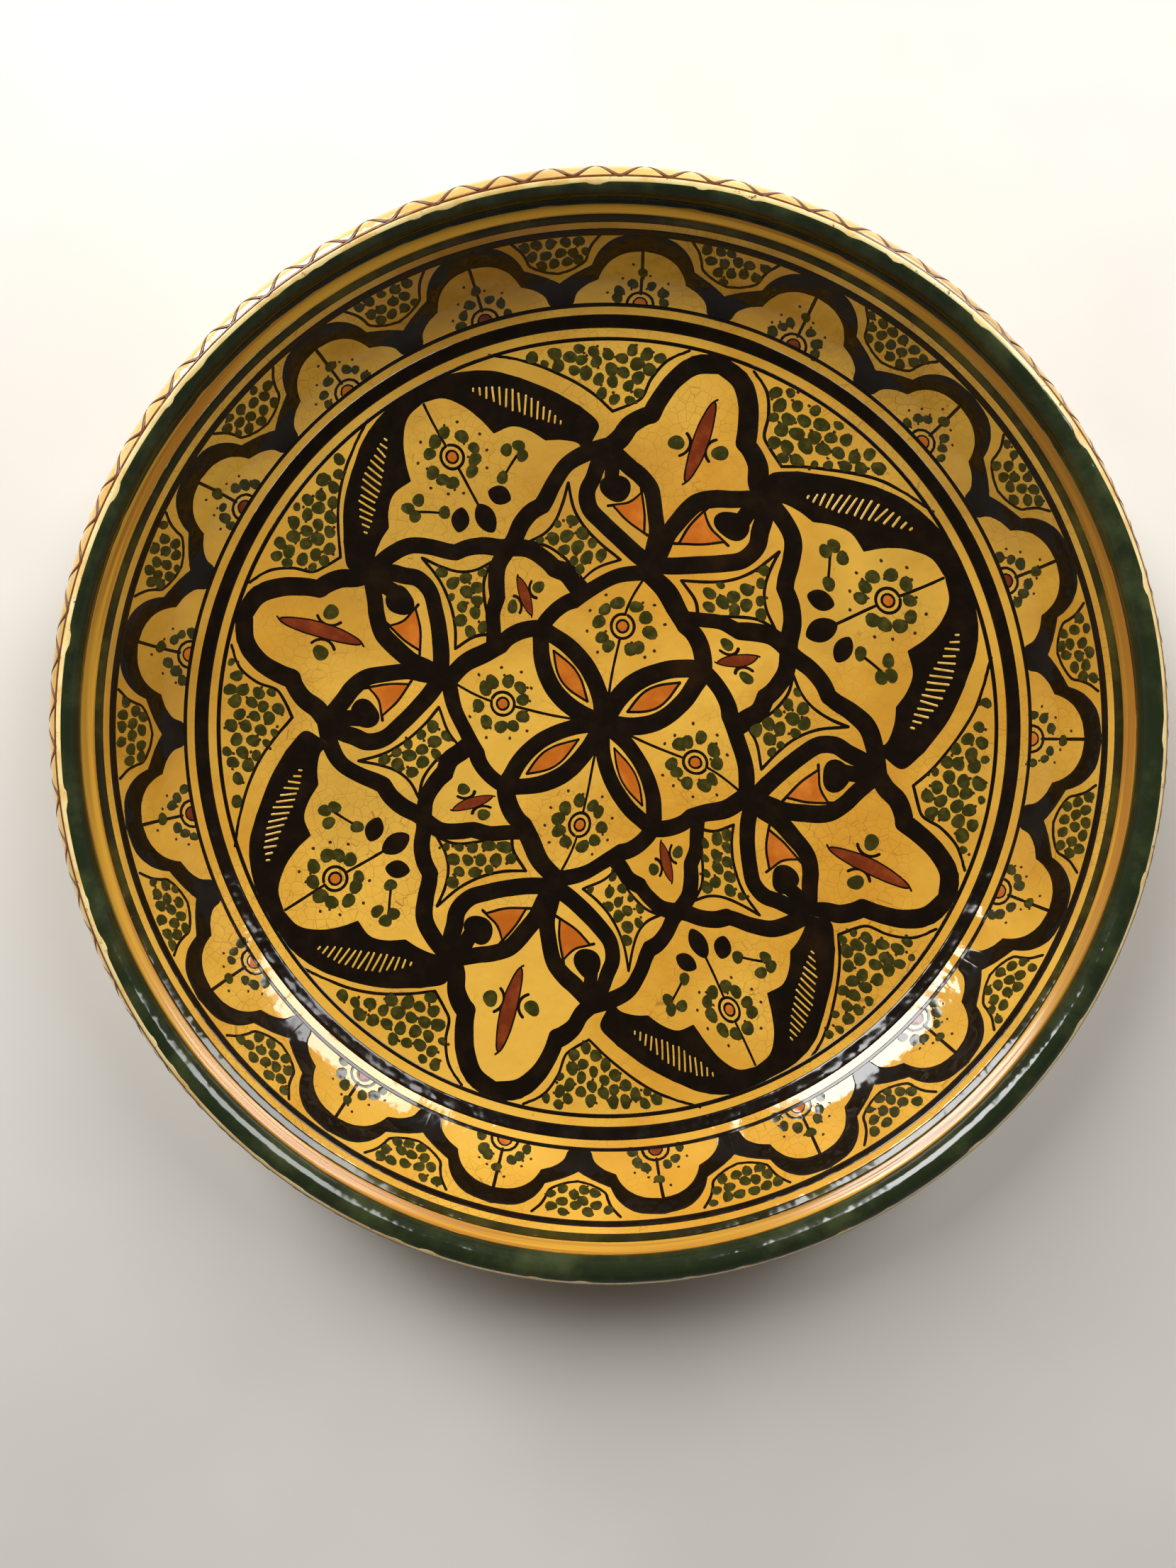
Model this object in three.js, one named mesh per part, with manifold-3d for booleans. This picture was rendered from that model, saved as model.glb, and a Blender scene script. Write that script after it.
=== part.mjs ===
// Hand painted dish: thrown clay pieces, fired glaze coats, and the raised brushwork that
// decorates its inside. Millimetres, +Z up. The origin is the centre of the foot's resting face.
import * as THREE from 'three';
import { mergeVertices } from 'three/addons/utils/BufferGeometryUtils.js';
import Module from 'manifold-3d';

const wasm = await Module();
wasm.setup();

// Overall size
const rimRadius = 181;            // outside of the glazed lip
const dishHeight = 64.4;          // foot to glazed crest

// Clay
const wallThickness = 8.5;
const floorHeight = 17.2;         // clay floor above the table, at the centre
const floorCurve = 1344;          // radius of the shallow bowl of the floor
const wellRadius = 134;           // where the floor turns up into the wall
const cornerCurve = 30;           // inside radius of that turn
const lipRoll = 3.8;              // radius of the rolled lip
const shoulderIn = 9.4;           // end of the straight wall, inwards from the middle of the roll
const shoulderDown = 6.5;         // the same point, down from the middle of the roll
const grooveIn = 5.1;             // thrown groove below the roll, inwards
const grooveDown = 2.7;           // and down from the middle of the roll
const rollStart = THREE.MathUtils.degToRad(200);
const rollEnd = THREE.MathUtils.degToRad(-50);
const footOuter = 72;
const footWidth = 14;
const footTaper = 0.8;            // how far each side of the foot draws in towards the table

// Glaze and brushwork
const coat = 0.5;                 // thickness of each glaze coat
const brushDepth = 0.5;           // thickness of the raised brushwork
const clearance = 0.3;            // gap kept between any two pieces
const outlineWidth = 6;           // broad outline of the centre pattern
const leafWidth = 6.8;            // outline of the four long leaves
const archWidth = 6;              // outline of the frieze's arches
const turnOfPattern = THREE.MathUtils.degToRad(73);
const archCount = 17;

// Painted lines round the dish: where each starts and ends, along the clay from a landmark
const fineWellRing = [3, 4.5];    // outwards from the edge of the floor
const broadWellRing = [7.1, 12.6];
const friezeBaseLine = [14.8, 16.4];
const upperFriezeLine = [-4.4, -1.7];  // from the top of the straight wall
const oliveLipLine = [0.3, 2.4];
const greenPastCrest = 3;         // the green of the lip starts at the foot of the roll

// The centre pattern is drawn to this radius, and is enlarged or reduced to fit the fine well ring
const patternRadius = 137;

// Fineness of the faceted solids
const sides = 3 * archCount;      // whole facets under every arch
const sideAngle = 2 * Math.PI / sides;
const strokeStep = 7;             // distance between sections of a brush stroke
const dabSides = 10;
const floorSteps = 3;
const cornerSteps = 3;
const riseSteps = 3;              // inside of the rolled lip, up to its crest
const fallSteps = 4;              // outside of it
const backSteps = 2;              // outside of the corner

// ---- The clay skin: one path in the (radius, height) plane, from the middle of the floor up the
// ---- wall, over the rolled lip and down the outside to the foot. Its outward side is on its left.

function arcPoints(centre, radius, from, to, steps) {
  const points = [];
  for (let i = 0; i <= steps; i++) {
    const angle = from + (to - from) * i / steps;
    points.push([centre[0] + radius * Math.cos(angle), centre[1] + radius * Math.sin(angle)]);
  }
  return points;
}

const rollCentre = [
  rimRadius - lipRoll - clearance - coat,
  dishHeight - lipRoll - clearance - coat,
];
const floorCentre = [0, floorHeight + floorCurve];
const floorEnd = Math.asin(wellRadius / floorCurve);
const cornerCentre = [
  (floorCurve - cornerCurve) * Math.sin(floorEnd),
  floorCentre[1] - (floorCurve - cornerCurve) * Math.cos(floorEnd),
];
const wallTop = [rollCentre[0] - shoulderIn, rollCentre[1] - shoulderDown];
const wallAngle = tangentAngle(cornerCentre, cornerCurve, wallTop);
const quarter = Math.PI / 2;

// Slope of the line that leaves a circle's lower right side and ends at a point.
function tangentAngle(centre, radius, point) {
  const across = point[0] - centre[0];
  const up = point[1] - centre[1];
  return Math.atan2(up, across) + Math.asin(radius / Math.hypot(across, up));
}

function insideSkin() {
  const floor = arcPoints(floorCentre, floorCurve, -quarter, floorEnd - quarter, floorSteps);
  floor[0][0] = 0;
  const corner = arcPoints(
    cornerCentre, cornerCurve, floorEnd - quarter, wallAngle - quarter, cornerSteps,
  );
  const groove = [rollCentre[0] - grooveIn, rollCentre[1] - grooveDown];
  return [...floor, ...corner.slice(1), wallTop, groove];
}

function undersideArc(from, steps) {
  const points = arcPoints(floorCentre, floorCurve + wallThickness, from - quarter, -quarter, steps);
  points[steps][0] = 0;
  return points;
}

const footAngle = Math.asin((footOuter + clearance) / (floorCurve + wallThickness));

function outsideSkin() {
  const back = cornerCurve + wallThickness;
  const wallBack = [
    wallTop[0] + wallThickness * Math.sin(wallAngle),
    wallTop[1] - wallThickness * Math.cos(wallAngle),
  ];
  const corner = arcPoints(cornerCentre, back, wallAngle - quarter, floorEnd - quarter, backSteps);
  const footSide = undersideArc(footAngle, 1)[0];
  return [wallBack, ...corner, footSide];
}

const rollRise = arcPoints(rollCentre, lipRoll, rollStart, quarter, riseSteps);
const rollFall = arcPoints(rollCentre, lipRoll, quarter, rollEnd, fallSteps);
const roll = [...rollRise, ...rollFall.slice(1)];
const skin = [...insideSkin(), ...roll, ...outsideSkin()];

// ---- Walking along the skin, at any lift above it

function leftNormal(a, b) {
  const length = Math.hypot(b[0] - a[0], b[1] - a[1]);
  return [(a[1] - b[1]) / length, (b[0] - a[0]) / length];
}

// The path moved to its left, each corner mitred, so the layer keeps one thickness.
function lifted(path, lift) {
  const last = path.length - 1;
  return path.map((point, i) => {
    const before = leftNormal(path[Math.max(i - 1, 0)], path[Math.max(i, 1)]);
    const after = leftNormal(path[Math.min(i, last - 1)], path[Math.min(i + 1, last)]);
    const scale = lift / (1 + before[0] * after[0] + before[1] * after[1]);
    const across = point[0] === 0 ? 0 : (before[0] + after[0]) * scale;
    return [point[0] + across, point[1] + (before[1] + after[1]) * scale];
  });
}

// Distance along the skin to each of its corners.
const milestones = skin.reduce((list, point, i) => {
  const step = i ? Math.hypot(point[0] - skin[i - 1][0], point[1] - skin[i - 1][1]) : 0;
  return [...list, (list[i - 1] ?? 0) + step];
}, []);

function pointAt(path, distance) {
  const found = milestones.findIndex((mark) => mark >= distance);
  const next = Math.max(found < 0 ? skin.length - 1 : found, 1);
  const share = (distance - milestones[next - 1]) / (milestones[next] - milestones[next - 1]);
  const [a, b] = [path[next - 1], path[next]];
  return [a[0] + (b[0] - a[0]) * share, a[1] + (b[1] - a[1]) * share];
}

function stretch(from, to, lift) {
  const path = lifted(skin, lift);
  const inside = (mark) => mark > from + clearance && mark < to - clearance;
  const between = path.filter((point, i) => inside(milestones[i]));
  return [pointAt(path, from), ...between, pointAt(path, to)];
}

// ---- Solids of revolution

function lathe(section) {
  const points = section.map(([radius, height]) => new THREE.Vector2(radius, height));
  const geometry = new THREE.LatheGeometry(points, sides);
  geometry.rotateX(quarter);
  geometry.rotateZ(quarter);
  return geometry;
}

// A layer over the skin, closed on itself, or on the axis where it starts at the middle.
function layer(from, to, bottom, top) {
  const under = stretch(from, to, bottom);
  const over = stretch(from, to, top).reverse();
  const ring = from > 0 ? [under[0]] : [];
  return lathe([...under, ...over, ...ring]);
}

const rollFoot = milestones[insideSkin().length];
const crest = milestones[insideSkin().length + riseSteps];
const lipStart = milestones[insideSkin().length - 2];
const lipStop = milestones[insideSkin().length + roll.length];

function dishBody() {
  const inside = stretch(0, lipStart - clearance, 0).reverse();
  const outside = stretch(lipStop + clearance, milestones.at(-1), 0).reverse();
  const underside = undersideArc(footAngle, 2).slice(1).reverse();
  return lathe([...underside, ...outside, ...inside]);
}

function rolledLip() {
  const over = stretch(lipStart, lipStop, 0).reverse();
  return lathe([...over, over[0]]);
}

// Height of the underside of the floor at a radius.
function undersideHeight(radius) {
  const reach = floorCurve + wallThickness;
  return floorCentre[1] - Math.sqrt(reach * reach - radius * radius);
}

function footRing() {
  const footInner = footOuter - footWidth;
  const bottomInner = [footInner + footTaper, 0];
  return lathe([
    bottomInner,
    [footOuter - footTaper, 0],
    [footOuter, undersideHeight(footOuter) - clearance],
    [footInner, undersideHeight(footInner) - clearance],
    bottomInner,
  ]);
}

const glazeTop = clearance + coat;
const brushBottom = glazeTop + clearance;
const brushTop = brushBottom + brushDepth;
const greenTo = crest + greenPastCrest;
const floorEdge = milestones[floorSteps];

function insideGlaze() {
  return layer(0, rollFoot - clearance, clearance, glazeTop);
}

function lipGlaze() {
  return layer(rollFoot, greenTo, clearance, glazeTop);
}

function outsideGlaze() {
  return layer(greenTo + clearance, milestones.at(-1), clearance, glazeTop);
}

function paintedLine(landmark, [start, end]) {
  return layer(landmark + start, landmark + end, brushBottom, brushTop);
}

// ---- Flat brushwork, one unit thick, joined and cut before it is laid on the dish

function toSolid(geometry) {
  const bare = geometry.clone();
  bare.deleteAttribute('normal');
  bare.deleteAttribute('uv');
  const merged = mergeVertices(bare, 1e-4);
  const vertProperties = new Float32Array(merged.attributes.position.array);
  const count = merged.attributes.position.count;
  const order = merged.index ? [...merged.index.array] : [...Array(count).keys()];
  const triVerts = new Uint32Array(order);
  return new wasm.Manifold(new wasm.Mesh({ numProp: 3, vertProperties, triVerts }));
}

function toGeometry(solid) {
  const mesh = solid.getMesh();
  const geometry = new THREE.BufferGeometry();
  const positions = new THREE.BufferAttribute(new Float32Array(mesh.vertProperties), 3);
  geometry.setAttribute('position', positions);
  geometry.setIndex([...mesh.triVerts]);
  return geometry;
}

function joined(solids) {
  return solids.reduce((whole, piece) => whole.add(piece));
}

function curveThrough(points) {
  return new THREE.SplineCurve(points.map(([x, y]) => new THREE.Vector2(x, y)));
}

function sampled(points) {
  const curve = curveThrough(points);
  return curve.getSpacedPoints(Math.max(2, Math.round(curve.getLength() / strokeStep)));
}

function flatPiece(outline) {
  return toSolid(new THREE.ExtrudeGeometry(new THREE.Shape(outline), { depth: 1, bevelEnabled: false }));
}

// One pull of the brush along a smooth curve.
function pull(points, width) {
  const curve = curveThrough(points);
  const steps = Math.max(2, Math.round(curve.getLength() / strokeStep));
  const left = [];
  const right = [];
  for (let i = 0; i <= steps; i++) {
    const point = curve.getPointAt(i / steps);
    const tangent = curve.getTangentAt(i / steps);
    const across = new THREE.Vector2(-tangent.y, tangent.x).multiplyScalar(width / 2);
    left.push(point.clone().add(across));
    right.push(point.clone().sub(across));
  }
  return flatPiece([...right, ...left.reverse()]);
}

// A round touch of the brush, wide enough to cover the square end of a pull.
function dab([x, y], width) {
  const radius = width / 2 / Math.cos(Math.PI / dabSides);
  const disc = new THREE.CylinderGeometry(radius, radius, 1, dabSides);
  disc.rotateX(quarter);
  disc.translate(x, y, 0.5);
  return toSolid(disc);
}

// A stroke of several pulls that meet at notches, with a round end to each.
function stroke(pulls, width) {
  const ends = [pulls[0][0], ...pulls.map((points) => points.at(-1))];
  return joined([...pulls.map((points) => pull(points, width)), ...ends.map((end) => dab(end, width))]);
}

// Points of the pattern, brought to the size of the well and turned about its middle.
function placed(points, angle) {
  const scale = wellEdge / patternRadius;
  return points.map(([x, y]) => [
    scale * (x * Math.cos(angle) - y * Math.sin(angle)),
    scale * (x * Math.sin(angle) + y * Math.cos(angle)),
  ]);
}

function mirrored(points) {
  return points.map(([x, y]) => [x, -y]);
}

// The same stroke on both sides of an axis that points along an angle.
function pairOfStrokes(pulls, width, angle) {
  const right = pulls.map((points) => placed(points, angle));
  const left = pulls.map((points) => placed(mirrored(points), angle));
  return [stroke(right, width), stroke(left, width)];
}

// ---- Half outlines of the centre pattern: outwards along an axis, then sideways from it

const petalHalf = [
  [[0, 0], [3.4, 10.8], [9, 19.2], [17.2, 25.2], [29.1, 29.1], [37, 25.5], [41.7, 19.5]],
  [[41.7, 19.5], [46.4, 15], [53, 8.6], [57.5, 0]],
];
const heartOuterHalf = [
  [[62, 0], [62.6, 6], [65, 12.8], [69, 21.3], [73, 27.5], [78.5, 30.2], [90, 29.5], [96.5, 26.8]],
];
const heartInnerHalf = [
  [[63, 0.8], [72, 2], [78.5, 4.5], [85.8, 8.4], [89.5, 13.8], [93, 24]],
];
const longLeafHalf = [
  [[96.5, 26.8], [100, 24.5], [105.5, 22.5], [111.2, 16.8]],
  [[111.2, 16.8], [116, 16.2], [124.3, 13.8], [131.5, 8.5], [135, 0]],
];
const collarHalf = [
  [[96.5, 26.8], [91, 35.2], [85.5, 40.3], [78.5, 42.3], [69, 43.6]],
  [[69, 43.6], [65.5, 46.6], [60, 49], [51, 51], [44.2, 52.7], [37.8, 51.3], [33, 49.2]],
  [[33, 49.2], [27.5, 49], [22.6, 46.7], [18.7, 44.9]],
];

// Half outlines of a shield, outwards along the diagonal between two flowers
const shieldEdge = [
  [90, 46], [94, 51], [103, 48.8], [114, 42], [123.5, 34], [131.5, 25], [136.5, 13], [139, 0],
];
const shieldLobes = [
  [[131.6, 0], [129.7, 7.3], [124, 12.5], [117, 15.5], [110, 17]],
  [[110, 17], [109, 24], [104.7, 28.6], [99.2, 31.8]],
  [[99.2, 31.8], [96.5, 37], [89.5, 42]],
];

function petals(width) {
  const strokes = [0, 1, 2, 3].flatMap((k) => pairOfStrokes(petalHalf, width, k * quarter));
  return joined(strokes);
}

function flower(extra, angle) {
  return joined([
    ...pairOfStrokes(heartOuterHalf, outlineWidth + extra, angle),
    ...pairOfStrokes(heartInnerHalf, outlineWidth + extra, angle),
    ...pairOfStrokes(longLeafHalf, leafWidth + extra, angle),
  ]);
}

function crescent(angle) {
  const edge = sampled(shieldEdge);
  const lobes = shieldLobes.flatMap((points) => sampled(points).slice(0, -1));
  const half = [...edge, ...lobes, new THREE.Vector2(...shieldLobes[2].at(-1))];
  const right = placed(half.map((point) => [point.x, point.y]), angle);
  const left = placed(half.map((point) => [point.x, -point.y]), angle).reverse();
  return [right, left].map((outline) => flatPiece(outline.map(([x, y]) => new THREE.Vector2(x, y))));
}

// The crescent of a shield, with the collars of the flowers on its two sides.
function shield(angle) {
  const after = collarHalf.map((points) => placed(mirrored(points), angle + quarter / 2));
  const before = collarHalf.map((points) => placed(points, angle - quarter / 2));
  return joined([...crescent(angle), stroke(after, outlineWidth), stroke(before, outlineWidth)]);
}

// ---- Laying flat brushwork on the faceted dish

// Radius of the lathe corner whose facet passes through a point of this radius and direction.
function cornerRadius(radius, direction) {
  const turn = ((direction % sideAngle) + sideAngle) % sideAngle - sideAngle / 2;
  return radius * Math.cos(turn) / Math.cos(sideAngle / 2);
}

function heightOnFloor(path, radius) {
  const next = Math.max(path.findIndex((point) => point[0] >= radius), 1);
  const [a, b] = [path[next - 1], path[next]];
  return a[1] + (b[1] - a[1]) * (radius - a[0]) / (b[0] - a[0]);
}

const floorOfBrush = lifted(skin, brushBottom);
const topOfBrush = lifted(skin, brushTop);

// Everything inside the fine well ring, clear of its facets.
const ringEdge = pointAt(topOfBrush, floorEdge + fineWellRing[0])[0];
const wellEdge = ringEdge * Math.cos(sideAngle / 2) - clearance;

function wellDisc() {
  const disc = new THREE.CylinderGeometry(wellEdge, wellEdge, 1, 2 * sides);
  disc.rotateX(quarter);
  disc.translate(0, 0, 0.5);
  return toSolid(disc);
}

function laidOnFloor(solid) {
  const geometry = toGeometry(solid);
  geometry.rotateZ(turnOfPattern);
  const place = geometry.attributes.position;
  for (let i = 0; i < place.count; i++) {
    const [x, y, level] = [place.getX(i), place.getY(i), place.getZ(i)];
    const radius = cornerRadius(Math.hypot(x, y), Math.atan2(y, x));
    place.setZ(i, heightOnFloor(level > 0.5 ? topOfBrush : floorOfBrush, radius));
  }
  return geometry;
}

const friezeBase = floorEdge + friezeBaseLine[1];
const friezeHeight = lipStart + upperFriezeLine[0] - friezeBase;
const friezeRadius = pointAt(skin, friezeBase + friezeHeight / 2)[0];
const halfPitch = Math.PI * friezeRadius / archCount;

// Half an arch of the frieze: sideways along the wall, then up it, both as shares of its panel.
// The panel's edges cut its highest and lowest points, whatever the height of the wall.
const archTop = 1 - 0.25 * archWidth / friezeHeight;
const archFoot = 0.4 * archWidth / friezeHeight;
const archHalf = [
  [[0, archTop], [0.277, 0.865], [0.443, 0.715], [0.519, 0.575], [0.56, 0.47]],
  [[0.56, 0.47], [0.734, 0.39], [0.889, 0.26], [1, archFoot]],
];

function archOutline() {
  const right = archHalf.map((points) => points.map(([x, y]) => [x * halfPitch, y * friezeHeight]));
  const left = right.map((points) => points.map(([x, y]) => [-x, y]));
  const panelWidth = 2 * halfPitch - clearance;
  const panel = new THREE.BoxGeometry(panelWidth, friezeHeight - 2 * clearance, 2);
  panel.translate(0, friezeHeight / 2, 0);
  return stroke(right, archWidth).add(stroke(left, archWidth)).intersect(toSolid(panel));
}

function laidOnWall(solid) {
  const geometry = toGeometry(solid);
  const place = geometry.attributes.position;
  for (let i = 0; i < place.count; i++) {
    const direction = -place.getX(i) / friezeRadius;
    const path = place.getZ(i) > 0.5 ? topOfBrush : floorOfBrush;
    const [radius, height] = pointAt(path, friezeBase + place.getY(i));
    const reach = radius * radius / cornerRadius(radius, direction);
    place.setXYZ(i, reach * Math.cos(direction), reach * Math.sin(direction), height);
  }
  return geometry;
}

// ---- Materials

function clay() {
  return new THREE.MeshStandardMaterial({ color: 0xc89a6e, roughness: 0.85, metalness: 0 });
}

function ochreGlaze() {
  return new THREE.MeshStandardMaterial({ color: 0xdaa83a, roughness: 0.18, metalness: 0 });
}

function greenGlaze() {
  return new THREE.MeshStandardMaterial({ color: 0x2d3c2d, roughness: 0.2, metalness: 0 });
}

function manganeseBlack() {
  return new THREE.MeshStandardMaterial({ color: 0x181008, roughness: 0.2, metalness: 0 });
}

function oliveBrown() {
  return new THREE.MeshStandardMaterial({ color: 0x3c3a1c, roughness: 0.22, metalness: 0 });
}

// ---- Assembly

const plate = new THREE.Group();

function addPiece(name, geometry, material, turn = 0) {
  const mesh = new THREE.Mesh(geometry, material);
  mesh.name = name;
  mesh.rotation.z = turn;
  plate.add(mesh);
}

addPiece('dish_body', dishBody(), clay());
addPiece('foot_ring', footRing(), clay());
addPiece('rolled_lip', rolledLip(), clay());
addPiece('inside_glaze', insideGlaze(), ochreGlaze());
addPiece('lip_glaze', lipGlaze(), greenGlaze());
addPiece('outside_glaze', outsideGlaze(), ochreGlaze());
addPiece('olive_lip_line', paintedLine(lipStart, oliveLipLine), oliveBrown());
addPiece('upper_frieze_line', paintedLine(lipStart, upperFriezeLine), manganeseBlack());
addPiece('frieze_base_line', paintedLine(floorEdge, friezeBaseLine), manganeseBlack());
addPiece('broad_well_ring', paintedLine(floorEdge, broadWellRing), manganeseBlack());
addPiece('fine_well_ring', paintedLine(floorEdge, fineWellRing), manganeseBlack());

const disc = wellDisc();
const petalRoom = petals(outlineWidth + 2 * clearance);
addPiece('petal_rosette', laidOnFloor(petals(outlineWidth)), manganeseBlack());

const flowerRoom = [];
for (let k = 0; k < 4; k++) {
  const body = flower(0, k * quarter).subtract(petalRoom).intersect(disc);
  addPiece(`flower_outline_${k + 1}`, laidOnFloor(body), manganeseBlack());
  flowerRoom.push(flower(2 * clearance, k * quarter));
}

for (let k = 0; k < 4; k++) {
  const room = joined([petalRoom, flowerRoom[k], flowerRoom[(k + 3) % 4]]);
  const body = shield((k - 0.5) * quarter).subtract(room).intersect(disc);
  addPiece(`shield_outline_${k + 1}`, laidOnFloor(body), manganeseBlack());
}

for (let k = 0; k < archCount; k++) {
  const turn = 2 * Math.PI * k / archCount;
  addPiece(`frieze_arch_${k + 1}`, laidOnWall(archOutline()), manganeseBlack(), turn);
}

export default plate;
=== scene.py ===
import math
import bmesh
import bpy
import numpy as np
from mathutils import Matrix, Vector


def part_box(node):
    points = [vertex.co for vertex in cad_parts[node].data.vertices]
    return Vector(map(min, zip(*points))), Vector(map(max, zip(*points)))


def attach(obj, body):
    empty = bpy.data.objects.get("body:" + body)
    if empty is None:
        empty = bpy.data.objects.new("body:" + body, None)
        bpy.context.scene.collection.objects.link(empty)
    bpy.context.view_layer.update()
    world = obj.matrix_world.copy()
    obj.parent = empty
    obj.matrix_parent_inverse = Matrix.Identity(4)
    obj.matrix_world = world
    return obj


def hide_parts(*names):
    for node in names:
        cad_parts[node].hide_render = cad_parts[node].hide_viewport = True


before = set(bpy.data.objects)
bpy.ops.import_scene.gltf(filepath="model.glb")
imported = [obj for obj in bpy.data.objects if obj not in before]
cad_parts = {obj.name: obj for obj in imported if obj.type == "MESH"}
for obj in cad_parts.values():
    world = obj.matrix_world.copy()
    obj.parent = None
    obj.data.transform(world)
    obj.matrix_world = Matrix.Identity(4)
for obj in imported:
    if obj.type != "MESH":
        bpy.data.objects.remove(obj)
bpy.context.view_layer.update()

mm = 0.001
turnRight = math.pi / 2
print("frame loaded")

# the clay skin: middle of the floor, up the wall, over the lip, down the outside to the foot
dish = {
    "glazeLift": 0.8 * mm,        # glaze surface above the clay
    "wallThickness": 8.5 * mm,
    "floorHeight": 17.2 * mm,
    "floorCurve": 1344 * mm,
    "wellRadius": 134 * mm,
    "cornerCurve": 30 * mm,
    "lipRoll": 3.8 * mm,
    "shoulderIn": 9.4 * mm,
    "shoulderDown": 6.5 * mm,
    "rollIn": math.radians(200),  # where the roll of the lip starts and stops
    "rollOut": math.radians(-50),
    "crestAt": math.radians(110),
    "footOuter": 72.3 * mm,
    "aroundSteps": 720,           # round a painted band; the clay and the coats take half as many
    "bendStep": math.radians(3.2),
    "longStep": 7 * mm,
}
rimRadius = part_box("outside_glaze")[1].x
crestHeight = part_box("lip_glaze")[1].z


def arc(centre, radius, start, end, steps):  # centre + radius * (cos a, sin a), a from start to end
    angle = np.linspace(start, end, steps)
    return np.stack([centre[0] + radius * np.cos(angle), centre[1] + radius * np.sin(angle)], 1)


def bezier(p0, p1, p2, p3, steps):  # cubic curve through p0 and p3, leaving towards p1, coming from p2
    t = np.linspace(0, 1, steps)[:, None]
    p0, p1, p2, p3 = (np.asarray(p, float) for p in (p0, p1, p2, p3))
    return (1 - t) ** 3 * p0 + 3 * t * (1 - t) ** 2 * p1 + 3 * t ** 2 * (1 - t) * p2 + t ** 3 * p3


def skinPath():
    d = dish
    roll = np.array([rimRadius - d["lipRoll"] - d["glazeLift"], crestHeight - d["lipRoll"] - d["glazeLift"]])
    bowl = np.array([0, d["floorHeight"] + d["floorCurve"]])
    edge = math.asin(d["wellRadius"] / d["floorCurve"])
    inward = d["floorCurve"] - d["cornerCurve"]
    corner = bowl + inward * np.array([math.sin(edge), -math.cos(edge)])
    wallTop = roll - np.array([d["shoulderIn"], d["shoulderDown"]])
    reach = wallTop - corner
    slope = math.atan2(reach[1], reach[0]) + math.asin(d["cornerCurve"] / np.hypot(*reach))
    along = np.array([math.cos(slope), math.sin(slope)])
    out = np.array([math.sin(slope), -math.cos(slope)])
    rollIn, rollOut = d["rollIn"], d["rollOut"]
    floorPart = arc(bowl, d["floorCurve"], -turnRight, edge - turnRight, 90)
    cornerPart = arc(corner, d["cornerCurve"], edge - turnRight, slope - turnRight, 40)
    rollPart = arc(roll, d["lipRoll"], rollIn, rollOut, 44)
    wallPart = cornerPart[-1] + np.linspace(0, 1, 14)[:, None] * (wallTop - cornerPart[-1])
    leave = np.array([math.sin(rollIn), -math.cos(rollIn)])
    groovePart = bezier(wallTop, wallTop + 3 * mm * along, rollPart[0] - 1.6 * mm * leave, rollPart[0], 12)
    backTop = wallTop + d["wallThickness"] * out
    under = np.array([math.sin(rollOut), -math.cos(rollOut)])
    neckPart = bezier(rollPart[-1], rollPart[-1] + 2.5 * mm * under, backTop + 3 * mm * along, backTop, 12)
    backCurve = d["cornerCurve"] + d["wallThickness"]
    backCorner = arc(corner, backCurve, slope - turnRight, edge - turnRight, 40)
    backPart = backTop + np.linspace(0, 1, 14)[:, None] * (backCorner[0] - backTop)
    underCurve = d["floorCurve"] + d["wallThickness"]
    footAngle = math.asin(d["footOuter"] / underCurve)
    underPart = arc(bowl, underCurve, edge - turnRight, footAngle - turnRight, 30)
    parts = [floorPart, cornerPart, wallPart, groovePart, rollPart, neckPart, backPart, backCorner, underPart]
    path = np.concatenate([parts[0]] + [part[1:] for part in parts[1:]])
    path[0, 0] = 0
    ends = np.cumsum([len(part) - 1 for part in parts])
    underFoot = arc(bowl, underCurve, footAngle - turnRight, -turnRight, 12)[1:]
    return path, ends, underFoot


path, ends, underFoot = skinPath()
steps = np.hypot(*np.diff(path, axis=0).T)
mileage = np.concatenate([[0], np.cumsum(steps)])
tangent = np.gradient(path, mileage, axis=0)
tangent /= np.hypot(*tangent.T)[:, None]
normal = np.stack([-tangent[:, 1], tangent[:, 0]], 1)
normal[0] = (0, 1)
bend = np.abs(np.diff(np.unwrap(np.arctan2(tangent[:, 1], tangent[:, 0]))))
effort = np.concatenate([[0], np.cumsum(bend / dish["bendStep"] + steps / dish["longStep"])])
floorEdge, wallTopAt, rollFoot = mileage[ends[0]], mileage[ends[2]], mileage[ends[3]]
crest = rollFoot + dish["lipRoll"] * dish["crestAt"]
skinEnd = mileage[-1]


def skinAt(distance, lift):  # point of the skin at a distance along it, moved lift along its outward normal
    shape = [np.interp(distance, mileage, column) for column in (*path.T, *normal.T)]
    return shape[0] + lift * shape[2], shape[1] + lift * shape[3]


def onDish(angle, distance, lift):  # skin point turned about the axis: (r cos a, r sin a, z)
    radius, height = skinAt(distance, lift + dish["glazeLift"])
    return np.stack([radius * np.cos(angle), radius * np.sin(angle), height + 0 * angle], -1)


def onFloor(xy, lift):  # flat pattern point (x, y) laid on the inside at the same direction and radius
    radius = np.hypot(xy[..., 0], xy[..., 1])
    inner = slice(0, ends[2])
    distance = np.interp(radius, path[inner, 0], mileage[inner])
    return onDish(np.arctan2(xy[..., 1], xy[..., 0]), distance, lift)


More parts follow.
